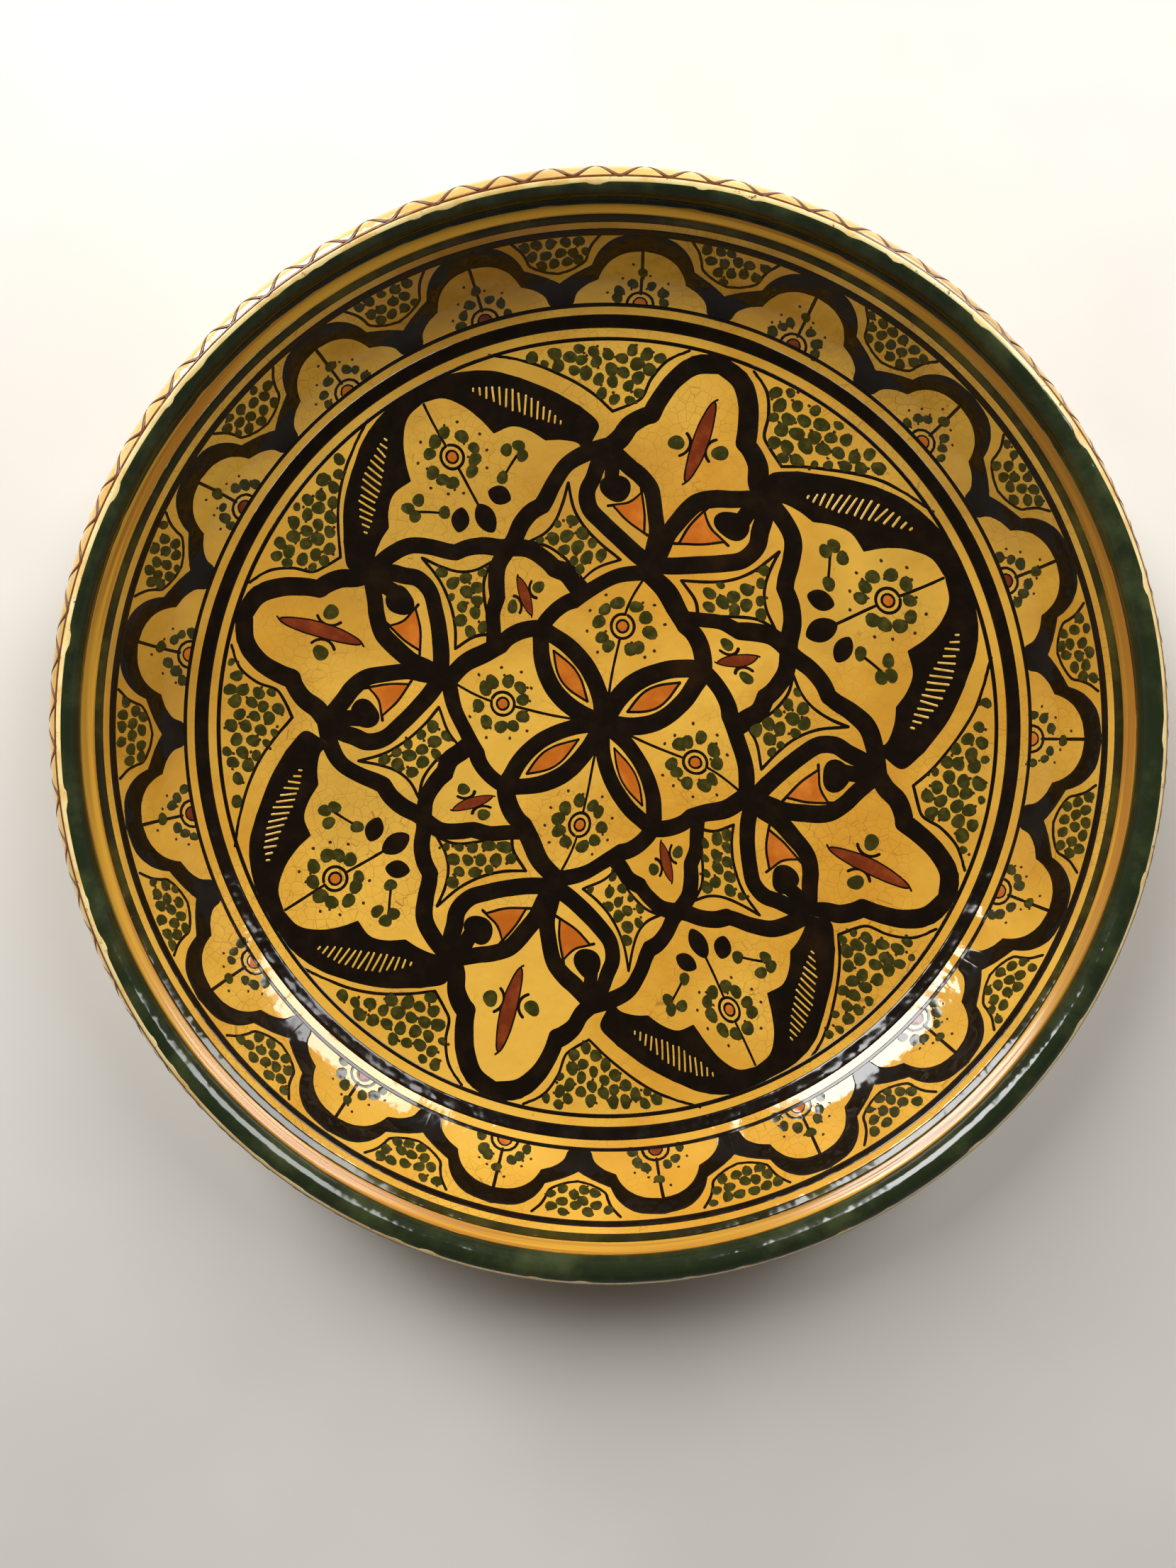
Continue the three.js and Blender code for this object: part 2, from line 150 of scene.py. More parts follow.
class Heap:  # gathers grids of points and their faces, to become one piece
    def __init__(self):
        self.points, self.quads, self.count = [], [], 0

    # faces between neighbours of a grid of points, closed on itself along an axis where asked
    def grid(self, points, closeRows=False, closeColumns=False):
        rows, columns = points.shape[:2]
        r = np.arange(rows if closeRows else rows - 1)[:, None]
        c = np.arange(columns if closeColumns else columns - 1)[None]
        nextRow, nextColumn = (r + 1) % rows, (c + 1) % columns
        corners = [r * columns + c, nextRow * columns + c,
                   nextRow * columns + nextColumn, r * columns + nextColumn]
        self.points.append(points.reshape(-1, 3))
        self.quads.append(np.stack([k.ravel() for k in np.broadcast_arrays(*corners)], 1) + self.count)
        self.count += rows * columns


def makeObject(name, heap, material):
    points, quads = np.concatenate(heap.points), np.concatenate(heap.quads)
    mesh = bpy.data.meshes.new(name)
    mesh.vertices.add(len(points))
    mesh.vertices.foreach_set("co", points.astype(np.float32).ravel())
    mesh.loops.add(quads.size)
    mesh.loops.foreach_set("vertex_index", quads.astype(np.int32).ravel())
    mesh.polygons.add(len(quads))
    mesh.polygons.foreach_set("loop_start", np.arange(0, quads.size, 4, dtype=np.int32))
    mesh.polygons.foreach_set("loop_total", np.full(len(quads), 4, np.int32))
    mesh.update(calc_edges=True)
    mesh.validate()
    weld(mesh)
    mesh.polygons.foreach_set("use_smooth", np.ones(len(mesh.polygons), bool))
    mesh.materials.append(material)
    made = bpy.data.objects.new(name, mesh)
    bpy.context.scene.collection.objects.link(made)
    print("made", name, len(mesh.polygons), "faces")
    return made


def makePiece(name, heap, finish, replaces=()):
    material, slot = finishes[finish]
    piece = makeObject(name, heap, material)
    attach(piece, "root")
    if replaces:
        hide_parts(*replaces)


def weld(mesh, distance=1e-7):  # joins points that share a place, which closes seams and poles
    work = bmesh.new()
    work.from_mesh(mesh)
    bmesh.ops.remove_doubles(work, verts=work.verts, dist=distance)
    bmesh.ops.dissolve_degenerate(work, edges=work.edges, dist=distance)
    work.to_mesh(mesh)
    work.free()


around = np.linspace(0, 2 * math.pi, dish["aroundSteps"], endpoint=False)


def latheHeap(section):  # a closed (radius, height) section turned about the axis
    angle = around[::2, None]
    radius, height = section[:, 0][None], section[:, 1][None]
    heap = Heap()
    grid = np.stack([radius * np.cos(angle), radius * np.sin(angle), height + 0 * angle], -1)
    heap.grid(grid[:, ::-1], closeRows=True, closeColumns=True)
    return heap


# the skin between two distances, at one lift: steps are short where it bends and long where it runs flat
def stretch(start, end, lift):
    low, high = np.interp((start, end), mileage, effort)
    distance = np.interp(np.linspace(low, high, int(high - low) + 3), effort, mileage)
    return np.stack(skinAt(distance, lift), 1)


def hexColour(red, green, blue):  # screen colour, 0 to 255, to linear light
    value = np.array([red, green, blue]) / 255
    linear = np.where(value <= 0.04045, value / 12.92, ((value + 0.055) / 1.055) ** 2.4)
    return (*map(float, linear), 1.0)


def setLimits(node, *limits):
    for socket, value in zip(("From Min", "From Max", "To Min", "To Max"), limits):
        node.inputs[socket].default_value = value


class Finish:  # a principled material with short calls for the nodes that feed it
    def __init__(self, name, **sockets):
        self.material = bpy.data.materials.new(name)
        self.material.use_nodes = True
        self.nodes, self.links = self.material.node_tree.nodes, self.material.node_tree.links
        self.shader = self.nodes["Principled BSDF"]
        self.place = self.nodes.new("ShaderNodeTexCoord").outputs["Object"]
        for socket, value in sockets.items():
            self.shader.inputs[socket.replace("_", " ")].default_value = value

    def join(self, output, target):
        self.links.new(output, target)

    def noise(self, scale, detail=3, roughness=0.55, stretchTo=(1, 1, 1), at=(0, 0, 0)):
        mapping = self.nodes.new("ShaderNodeMapping")
        mapping.inputs["Scale"].default_value = stretchTo
        mapping.inputs["Location"].default_value = at
        node = self.nodes.new("ShaderNodeTexNoise")
        node.inputs["Scale"].default_value = scale
        node.inputs["Detail"].default_value = detail
        node.inputs["Roughness"].default_value = roughness
        self.join(self.place, mapping.inputs["Vector"])
        self.join(mapping.outputs["Vector"], node.inputs["Vector"])
        return node.outputs["Fac"]

    def cells(self, scale, feature="DISTANCE_TO_EDGE"):
        node = self.nodes.new("ShaderNodeTexVoronoi")
        node.feature = feature
        node.inputs["Scale"].default_value = scale
        self.join(self.place, node.inputs["Vector"])
        return node.outputs["Distance"]

    # a value that runs from low to high, turned smoothly into one from toLow to toHigh
    def between(self, value, low, high, toLow=0.0, toHigh=1.0):
        node = self.nodes.new("ShaderNodeMapRange")
        node.interpolation_type = "SMOOTHSTEP"
        setLimits(node, low, high, toLow, toHigh)
        self.join(value, node.inputs["Value"])
        return node.outputs["Result"]

    def sum(self, kind, first, second):
        node = self.nodes.new("ShaderNodeMath")
        node.operation = kind
        for socket, value in zip(node.inputs, (first, second)):
            if isinstance(value, (int, float)):
                socket.default_value = value
            else:
                self.join(value, socket)
        return node.outputs[0]

    def mix(self, factor, first, second):
        node = self.nodes.new("ShaderNodeMix")
        node.data_type = "RGBA"
        for socket, value in (("Factor_Float", factor), ("A_Color", first), ("B_Color", second)):
            target = next(s for s in node.inputs if s.identifier == socket)
            if isinstance(value, (int, float, tuple)):
                target.default_value = value
            else:
                self.join(value, target)
        return next(s for s in node.outputs if s.identifier == "Result_Color")

    def colour(self, output):
        self.join(output, self.shader.inputs["Base Color"])

    def rough(self, output):
        self.join(output, self.shader.inputs["Roughness"])

    def bump(self, height, strength, distance):
        node = self.nodes.new("ShaderNodeBump")
        node.inputs["Strength"].default_value = strength
        node.inputs["Distance"].default_value = distance
        self.join(height, node.inputs["Height"])
        self.join(node.outputs["Normal"], self.shader.inputs["Normal"])

    def ripples(self):  # slow and quick waves of a dipped glaze
        return self.sum("ADD", self.noise(26, 2), self.sum("MULTIPLY", self.noise(110, 2), 0.3))


glaze = {
    "yellow": hexColour(224, 174, 68),
    "amber": hexColour(204, 146, 46),
    "rust": hexColour(176, 104, 34),
    "olive": hexColour(158, 122, 50),
    "craze": hexColour(150, 100, 36),
    "crazeCell": 3.6 * mm,
    "roughness": 0.06,
    "rippleStrength": 0.5, "rippleHeight": 3 * mm,
}


def glazeFinish(name, light, deep, stain, crazing=0.8):
    f = Finish(name, IOR=1.55, Coat_Weight=0.35, Coat_Roughness=0.04)
    cloud = f.between(f.noise(16, 4), 0.35, 0.7)
    base = f.mix(cloud, light, deep)
    blot = f.between(f.noise(7, 5, 0.62, at=(3, 1, 0)), 0.54, 0.74, 0, 0.6)
    base = f.mix(blot, base, stain)
    shade = f.between(f.noise(6, 4, 0.6, at=(8, 3, 4)), 0.46, 0.7, 0, 0.5)
    base = f.mix(shade, base, glaze["olive"])
    edge = f.cells(1 / glaze["crazeCell"])
    crack = f.between(edge, 0.0, 0.028, 1.0, 0.0)
    patch = f.between(f.noise(22, 2, at=(1, 5, 2)), 0.42, 0.62)
    crack = f.sum("MULTIPLY", f.sum("MULTIPLY", crack, patch), crazing)
    base = f.mix(crack, base, glaze["craze"])
    speck = f.between(f.cells(260, "F1"), 0.05, 0.11, 0.55, 0.0)
    speck = f.sum("MULTIPLY", speck, f.between(f.noise(60, 1), 0.6, 0.7))
    base = f.mix(speck, base, hexColour(96, 56, 24))
    f.colour(base)
    f.rough(f.between(f.noise(90, 3), 0.3, 0.7, glaze["roughness"], glaze["roughness"] + 0.06))
    height = f.sum("ADD", f.ripples(), f.sum("MULTIPLY", edge, 0.04))
    f.bump(height, glaze["rippleStrength"], glaze["rippleHeight"])
    return f.material


def paintFinish(name, dark, light, cloudScale, share, thin=None, roughness=0.07):
    f = Finish(name, IOR=1.48, Coat_Weight=0.15, Coat_Roughness=0.05)
    cloud = f.between(f.noise(cloudScale, 4, 0.6), 0.4, 0.75, 0, share)
    base = f.mix(cloud, hexColour(*dark), hexColour(*light))
    if thin:
        base = f.mix(f.between(f.noise(34, 3, at=(2, 7, 1)), 0.6, 0.8, 0, 0.5), base, hexColour(*thin))
    f.colour(base)
    f.rough(f.between(f.noise(150, 3), 0.3, 0.7, roughness, roughness + 0.08))
    f.bump(f.ripples(), glaze["rippleStrength"], glaze["rippleHeight"])
    return f.material


# each paint: its slot, then a name, dark and light colour, grain and share of the clouds, thin colour
paints = {
    "black": ("manganese_black", "manganeseBlack", (20, 13, 7), (38, 26, 12), 120, 0.5, (52, 30, 14)),
    "olive": ("olive_line", "oliveBrownLine", (38, 34, 10), (92, 80, 22), 40, 0.7),
    "green": ("green_paint", "copperGreenDots", (50, 48, 16), (84, 77, 30), 300, 0.7),
    "orange": ("orange_paint", "orangeFill", (178, 92, 24), (206, 122, 42), 90, 0.9),
    "rust": ("rust_paint", "rustFill", (106, 42, 18), (144, 66, 28), 140, 0.8),
    "brown": ("manganese_black", "brownSpecks", (54, 32, 16), (96, 52, 24), 400, 0.5),
    "yellow": ("yellow_paint", "yellowBars", (214, 168, 66), (160, 118, 44), 200, 0.6),
    "lip": ("green_glaze", "darkGreenLip", (34, 42, 24), (64, 72, 42), 60, 0.9, (70, 62, 24)),
    "scaleBrown": ("outside_glaze", "scaleBrown", (104, 58, 30), (150, 96, 52), 200, 0.5),
}


# thin orange wash in streaks that run round the lip: noise stretched level and squeezed upwards
def streakFinish():
    f = Finish("orangeStreaks", IOR=1.5, Coat_Weight=0.1, Coat_Roughness=0.1)
    fine = f.between(f.noise(1, 2, stretchTo=(9, 9, 1300)), 0.4, 0.62)
    base = f.mix(fine, hexColour(208, 156, 54), hexColour(178, 118, 40))
    broad = f.between(f.noise(1, 2, stretchTo=(5, 5, 420), at=(1, 4, 2)), 0.45, 0.7, 0, 0.75)
    base = f.mix(broad, base, hexColour(128, 84, 30))
    f.colour(base)
    f.rough(f.between(fine, 0, 1, 0.12, 0.22))
    f.bump(fine, 0.25, 0.2 * mm)
    return f.material


# cream glaze where the green has worn away, brown in its pits
def wornFinish():
    f = Finish("wornEdge", IOR=1.5, Coat_Weight=0.2)
    base = f.mix(f.between(f.noise(120, 4), 0.4, 0.7), hexColour(238, 214, 150), hexColour(224, 184, 104))
    pits = f.between(f.noise(300, 4, 0.7, at=(2, 2, 5)), 0.62, 0.7)
    f.colour(f.mix(pits, base, hexColour(120, 84, 44)))
    f.rough(f.between(f.noise(200, 2), 0.3, 0.7, 0.2, 0.45))
    f.bump(f.noise(240, 4), 0.4, 0.2 * mm)
    return f.material


def clayFinish():
    f = Finish("bareBuffClay", IOR=1.45)
    base = f.mix(f.between(f.noise(60, 6, 0.7), 0.35, 0.7), hexColour(206, 166, 120), hexColour(176, 128, 86))
    grit = f.between(f.cells(900, "F1"), 0.12, 0.25, 0.5, 0)
    f.colour(f.mix(grit, base, hexColour(120, 80, 52)))
    f.rough(f.between(f.noise(200, 3), 0.3, 0.7, 0.75, 0.92))
    f.bump(f.sum("ADD", f.noise(500, 4, 0.7), f.noise(70, 2)), 0.5, 0.3 * mm)
    return f.material


finishes = {key: (paintFinish(*paint[1:]), paint[0]) for key, paint in paints.items()}
finishes["ochre"] = glazeFinish("ochreGlaze", glaze["yellow"], glaze["amber"], glaze["rust"]), "ochre_glaze"
finishes["outside"] = glazeFinish("paleOutsideGlaze", hexColour(236, 200, 132), hexColour(222, 178, 100),
                                  hexColour(200, 140, 80), 0.35), "outside_glaze"
finishes["streaks"] = streakFinish(), "ochre_glaze"
finishes["worn"] = wornFinish(), "outside_glaze"
finishes["clay"] = clayFinish(), "clay"
print("finishes ready")

# clay and glaze coats
coats = {"under": 0.1 * mm, "top": 0.8 * mm}
foot = {"inset": 0.3 * mm, "width": 14 * mm, "draw": 0.8 * mm, "edge": 0.9 * mm}


def makeClay():
    section = np.concatenate([stretch(0, skinEnd, 0), underFoot])
    section[-1, 0] = 0
    makePiece("clayBody", latheHeap(section), "clay", ["dish_body", "rolled_lip"])


def makeFoot():
    outer = dish["footOuter"] - foot["inset"]
    inner = outer - foot["width"]
    low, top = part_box("foot_ring")[0].z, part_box("foot_ring")[1].z
    draw, edge = foot["draw"], foot["edge"]
    heelOut = arc((outer - draw - edge, low + edge), edge, 0, -turnRight, 8)
    heelIn = arc((inner + draw + edge, low + edge), edge, -turnRight, -2 * turnRight, 8)
    sides = [np.array([[inner, top - foot["inset"]], [outer, top]]), heelOut, heelIn]
    makePiece("footRing", latheHeap(np.concatenate(sides)), "clay", ["foot_ring"])


def layerHeap(start, end, under, top):
    over, back = stretch(start, end, top), stretch(start, end, under)[::-1]
    over[:, 0], back[:, 0] = np.maximum(over[:, 0], 0), np.maximum(back[:, 0], 0)
    return latheHeap(np.concatenate([over, back]))


# smooth uneven line round the dish: a sum of waves whose share falls with their number
def waver(angle, size, seed, waves=(2, 3, 5, 8, 13, 21, 34)):
    draw = np.random.default_rng(seed)
    total = 0 * angle
    for wave in waves:
        total = total + draw.normal() * np.sin(wave * angle + draw.uniform(0, 2 * math.pi)) / wave ** 0.5
    return size * total / len(waves) ** 0.5


# band round the dish: rows run round, columns cross it; raised in the middle, edges sunk in the glaze
def ringHeap(start, end, crown, columns=7, below=0.03 * mm):
    share = np.linspace(0, 1, columns)[None]
    rise = crown * np.sqrt(np.clip(1 - (2 * share - 1) ** 4, 0, 1)) - below * (np.abs(2 * share - 1) > 0.99)
    distance = start[:, None] + (end - start)[:, None] * share
    top = onDish(around[:, None] + 0 * share, distance, rise + 0 * distance)
    bottom = onDish(around[:, None] + 0 * share, distance, -2 * below + 0 * distance)
    heap = Heap()
    heap.grid(np.concatenate([top, bottom[:, ::-1]], 1)[:, ::-1], closeRows=True, closeColumns=True)
    return heap


# the lip's colours were brushed off centre: further in on one side of the dish than on the other;
# all in millimetres along the skin, and degrees for the side they lean to
lip = {
    "edge": (0.6, 2.3, 115), "edgeWander": 0.35,
    "green": (1.2, 1.9, 85), "greenWander": 0.3, "greenOver": 0.4,
    "wear": 0.6, "wearInside": 0.25, "worn": (0.7, 1.2),
    "brownLine": (1.1, 1.7),
    "streaksAt": 2.6, "streaksOver": 0.6, "lineLean": 0.7,
}


def offCentre(mean, swing, towards=100):
    return (mean + swing * np.cos(around - math.radians(towards))) * mm


def band(name, start, end, finish, replaces=(), crown=0.1, columns=7, below=0.03):
    makePiece(name, ringHeap(start, end, crown * mm, columns, below * mm), finish, replaces)


past, swing, towards = lip["edge"]
lipEnd = crest + past * mm - offCentre(0, swing, towards)
lipEnd = lipEnd + waver(around, lip["edgeWander"] * mm, 4, (3, 5, 7, 12))


def makeCoats():
    under, top = coats["under"], coats["top"]
    makePiece("insideGlaze", layerHeap(0, crest, under, top), "ochre", ["inside_glaze"])
    makePiece("outsideGlaze", layerHeap(crest, skinEnd, under, top), "outside", ["outside_glaze"])
    wear = waver(around, 1.0, 5, (23, 41, 67, 97, 131))
    chips = np.clip(wear / wear.std() - 0.7, 0, 1.2)
    start = rollFoot - offCentre(*lip["green"]) + waver(around, lip["greenWander"] * mm, 3)
    start = start + lip["wearInside"] * mm * np.roll(chips, 99)
    end = lipEnd + lip["greenOver"] * mm - lip["wear"] * mm * chips
    band("greenLip", start, end, "lip", ["lip_glaze"], columns=14)
    inward, outward = lip["worn"]
    band("wornEdge", end - inward * mm, lipEnd + outward * mm, "worn", crown=0.05, below=0.02)
    low, high = lip["brownLine"]
    band("brownEdgeLine", lipEnd + low * mm, lipEnd + high * mm, "scaleBrown")
    streakStart = wallTopAt + lip["streaksAt"] * mm - offCentre(0, lip["lineLean"])
    band("orangeStreaks", streakStart, start + lip["streaksOver"] * mm, "streaks", crown=0.06, columns=9)


# painted lines: distances from a landmark on the skin, finish, and the node each stands for
ringLines = {
    "oliveLipLine": (wallTopAt, 0.2, 3.0, "olive", "olive_lip_line"),
    "upperFriezeLine": (wallTopAt, -4.4, -1.7, "black", "upper_frieze_line"),
    "friezeBaseLine": (floorEdge, 14.7, 16.2, "black", "frieze_base_line"),
    "broadWellRing": (floorEdge, 7.1, 12.4, "black", "broad_well_ring"),
    "fineWellRing": (floorEdge, 3.0, 4.6, "black", "fine_well_ring"),
}


def makeRingLines():
    for seed, (name, (landmark, start, end, finish, node)) in enumerate(ringLines.items()):
        aside = offCentre(0, lip["lineLean"]) if landmark == wallTopAt else 0
        inner = landmark + start * mm - aside + waver(around, 0.16 * mm, 10 + seed)
        outer = landmark + end * mm - aside + waver(around, 0.18 * mm, 20 + seed)
        band(name, inner, outer, finish, [node], crown=0.09)


makeClay()
makeFoot()
makeCoats()
makeRingLines()
print("clay, glaze and rings done")

# brushwork on the flat pattern, in millimetres, outwards along an axis and sideways from it
hand = {
    "turn": math.radians(73),         # direction of the first flower
    "middle": (-2.0, 1.0),            # where the pattern's centre was really put
    "lean": math.radians(1.5),
    "crowd": math.radians(9.5),       # how far the right side's motifs are pushed round
    "crowdAt": math.radians(343),
    "twist": (math.radians(3.5), math.radians(-1.7)),   # of the petals, and of all outside them
    "twistFrom": 38,
    "twistTo": 62,
    "fadeTo": 140,                    # where the off-centre middle has no more effect
    "wander": 0.35,                   # uneven hand, in millimetres
    "crown": 0.08 * mm,
    "thinCrown": 0.022 * mm,          # for each millimetre of a thin line's width
    "below": 0.022 * mm,              # how far edges are sunk in the glaze
    "skirt": 0.3,                     # how far beyond the painted edge they run, in millimetres
}


# flat point turned to its axis, then led astray: a twist that grows outwards, a smooth push round on
# one side, an off-centre middle that fades towards the ring, and a slow wander
def place(points, axis):
    x, y = points[..., 0], points[..., 1]
    radius = np.hypot(x, y)
    grow = np.clip((radius - hand["twistFrom"]) / (hand["twistTo"] - hand["twistFrom"]), 0, 1)
    grow = grow * grow * (3 - 2 * grow)
    inner, outer = hand["twist"]
    angle = np.arctan2(y, x) + axis + hand["turn"] + inner * (1 - grow) + outer * grow
    push = np.maximum(0, np.cos(angle - hand["crowdAt"])) ** 1.5
    angle = angle + hand["lean"] - hand["crowd"] * push
    fade = np.clip(1 - (radius / hand["fadeTo"]) ** 3, 0, 1)
    px = radius * np.cos(angle) + hand["middle"][0] * fade
    py = radius * np.sin(angle) + hand["middle"][1] * fade
    wanderX = np.sin(px * 0.11 + 1.3) * np.cos(py * 0.083) + 0.6 * np.sin(py * 0.21 + 0.4)
    wanderY = np.sin(py * 0.10 + 2.1) * np.cos(px * 0.091) + 0.6 * np.sin(px * 0.19 + 2.0)
    return np.stack([px + hand["wander"] * wanderX, py + hand["wander"] * wanderY], -1)


def lean(t, low, high, atLow, atHigh):
    return (high - t) / (high - low) * atLow + (t - low) / (high - low) * atHigh


def smooth(points, step=1.0):  # centripetal curve through the points, resampled at even steps
    p = np.asarray(points, float)
    if len(p) == 2:
        count = max(3, int(np.hypot(*(p[1] - p[0])) / step))
        return p[0] + np.linspace(0, 1, count)[:, None] * (p[1] - p[0])
    knots = np.concatenate([[0], np.cumsum(np.hypot(*np.diff(p, axis=0).T) ** 0.5)])
    before, after = 2 * p[0] - p[1], 2 * p[-1] - p[-2]
    q = np.concatenate([[before], p, [after]])
    k = np.concatenate([[2 * knots[0] - knots[1]], knots, [2 * knots[-1] - knots[-2]]])
    spans = []
    for i in range(1, len(q) - 2):  # one Catmull-Rom span between each two points
        t = np.linspace(k[i], k[i + 1], 24, endpoint=i == len(q) - 3)[:, None]
        a1, a2, a3 = (lean(t, k[j - 1], k[j], q[j - 1], q[j]) for j in (i, i + 1, i + 2))
        b1, b2 = lean(t, k[i - 1], k[i + 1], a1, a2), lean(t, k[i], k[i + 2], a2, a3)
        spans.append(lean(t, k[i], k[i + 1], b1, b2))
    return evenly(np.concatenate(spans), step)


def evenly(line, step):  # the line resampled at even steps along its length
    run = np.concatenate([[0], np.cumsum(np.hypot(*np.diff(line, axis=0).T))])
    at = np.linspace(0, run[-1], max(3, int(run[-1] / step) + 1))
    return np.stack([np.interp(at, run, line[:, 0]), np.interp(at, run, line[:, 1])], 1)


crossShares = np.array([-1, -1, -0.6, 0, 0.6, 1, 1])
crossRise = np.array([0.0, 0.05, 0.75, 1, 0.75, 0.05, 0.0])
crossSkirt = np.array([-1, 0, 0, 0, 0, 0, 1])


# a stroke: the path carries a low crowned section of the brush's width, with rounded ends and a hand's
# small changes of width; a skirt all round runs out just below the glaze, and both tips close to a point
def strokeGrid(line, width, seed, crown):
    draw = np.random.default_rng(seed)
    half, skirt = width / 2, hand["skirt"]
    run = np.concatenate([[0], np.cumsum(np.hypot(*np.diff(line, axis=0).T))])
    ahead = np.gradient(line, run, axis=0)
    ahead /= np.hypot(*ahead.T)[:, None]
    reach = np.concatenate([[half + skirt], half * np.cos(np.linspace(0, math.pi / 2, 5, endpoint=False))])
    full = np.concatenate([[0, 0.12], np.sqrt(1 - (reach[2:] / half) ** 2)])
    startTip, endTip = line[0] - ahead[0] * reach[:, None], line[-1] + ahead[-1] * reach[::-1, None]
    whole = np.concatenate([startTip, line, endTip])
    heading = np.concatenate([np.repeat(ahead[:1], 6, 0), ahead, np.repeat(ahead[-1:], 6, 0)])
    fill = np.concatenate([full, np.ones(len(line)), full[::-1]])
    t = np.linspace(0, 1, len(whole))
    widths = half * fill * (1 + 0.035 * np.sin(t * draw.uniform(5, 9) + draw.uniform(0, 6)))
    offsets = widths[:, None] * crossShares + skirt * (fill > 0)[:, None] * crossSkirt
    side = np.stack([-heading[:, 1], heading[:, 0]], 1)
    lift = crown * fill[:, None] * crossRise - hand["below"] * (np.abs(crossSkirt) + (fill == 0)[:, None] > 0)
    return whole[:, None] + side[:, None] * offsets[..., None], lift


def layStroke(heap, grid, lift, laying):  # top and underside of a band; rows at both ends are closed
    floor = np.where((lift == lift[:, :1]).all(1), 1.0, 2.5)[:, None] * -hand["below"]
    top = laying(grid, lift)
    bottom = laying(grid[:, 1:-1][:, ::-1], floor + np.zeros((len(grid), grid.shape[1] - 2)))
    heap.grid(np.concatenate([top, bottom], 1)[:, ::-1], closeColumns=True)


def sided(points, side):  # on the other side of the axis where side is -1
    return [(x, side * y) for x, y in points]


def ringOf(spans):  # one closed outline
    return np.concatenate([smooth(span)[:-1] for span in spans])


def halves(loop):  # the two sides of a closed outline, each from tip to tip
    half = len(loop) // 2 + 1
    return loop[:half], np.concatenate([loop[half - 1:], loop[:1]])


class Layer:  # everything painted with one finish, laid by one rule onto the dish
    def __init__(self, laying):
        self.heap, self.laying, self.seed = Heap(), laying, 0

    def stroke(self, points, width, axis, crown=None):
        self.seed += 1
        crown = crown or min(hand["crown"], hand["thinCrown"] * width)
        grid, lift = strokeGrid(smooth(points), width, self.seed, crown)
        layStroke(self.heap, grid, lift, lambda g, rise: self.laying(g, axis, rise))

    def strokes(self, spans, width, axis):  # on both sides of the axis
        for side in (1, -1):
            for points in spans:
                self.stroke(sided(points, side), width, axis)

    # a patch: rings of its outline shrink to a middle, and rise as a low dome
    def patch(self, outlines, axis, crown=0.07 * mm, rings=4):
        outlines = np.asarray(outlines, float)
        if outlines.ndim == 2:
            outlines = outlines[None]
        middle = outlines.mean(1, keepdims=True)
        size = np.hypot(*np.moveaxis(outlines - middle, -1, 0)).mean(1)
        skirt = 1 + hand["skirt"] / size
        inner = np.linspace(1, 0, rings)[None, 1:] ** 0.8
        share = np.concatenate([skirt[:, None], np.ones((len(size), 1)), inner + 0 * size[:, None]], 1)
        share = share[..., None, None]
        grid = middle[:, None] + share * (outlines - middle)[:, None]
        dome = crown * (1.05 - np.clip(share, 0, 1) ** 2.5)
        lift = np.where(share > 1, -hand["below"], dome)[..., 0] + 0 * grid[..., 0]
        top = self.laying(grid, axis, lift)
        under = self.laying(middle[:, None] + 0 * grid[:, :1], axis, -2.5 * hand["below"] + 0 * lift[:, :1])
        for dab in np.concatenate([under, top], 1):
            self.heap.grid(dab, closeColumns=True)

    def dots(self, centres, radii, axis, crown=0.06 * mm, sides=11, rings=3, seed=0):
        centres = np.asarray(centres, float)
        if not len(centres):
            return
        draw = np.random.default_rng(seed + 77)
        angle = np.linspace(0, 2 * math.pi, sides, endpoint=False)[None]
        uneven = 1 + 0.09 * np.sin(2 * angle + draw.uniform(0, 6, (len(centres), 1)))
        uneven = uneven + 0.05 * np.sin(3 * angle + draw.uniform(0, 6, (len(centres), 1)))
        radius = (np.asarray(radii) * np.ones(len(centres)))[:, None] * uneven
        ring = centres[:, None] + np.stack([radius * np.cos(angle), radius * np.sin(angle)], -1)
        self.patch(ring, axis, crown, rings)


def layFloor(points, axis, lift):
    return onFloor(place(points, axis) * mm, lift)


def inside(points, outline):  # even-odd rule, all points against all edges at once
    a, b = outline, np.roll(outline, -1, axis=0)
    x, y = points[:, None, 0], points[:, None, 1]
    crosses = (a[:, 1] > y) != (b[:, 1] > y)
    rise = np.where(b[:, 1] == a[:, 1], 1e-9, b[:, 1] - a[:, 1])
    meets = (b[:, 0] - a[:, 0]) * (y - a[:, 1]) / rise + a[:, 0]
    return (np.sum(crosses & (x < meets), axis=1) % 2) == 1


def edgeDistance(points, outline):
    start, run = outline[None], (np.roll(outline, -1, axis=0) - outline)[None]
    away = points[:, None] - start
    along = np.clip(np.sum(away * run, -1) / np.maximum(np.sum(run ** 2, -1), 1e-9), 0, 1)
    return np.min(np.hypot(*np.moveaxis(away - along[..., None] * run, -1, 0)), axis=1)


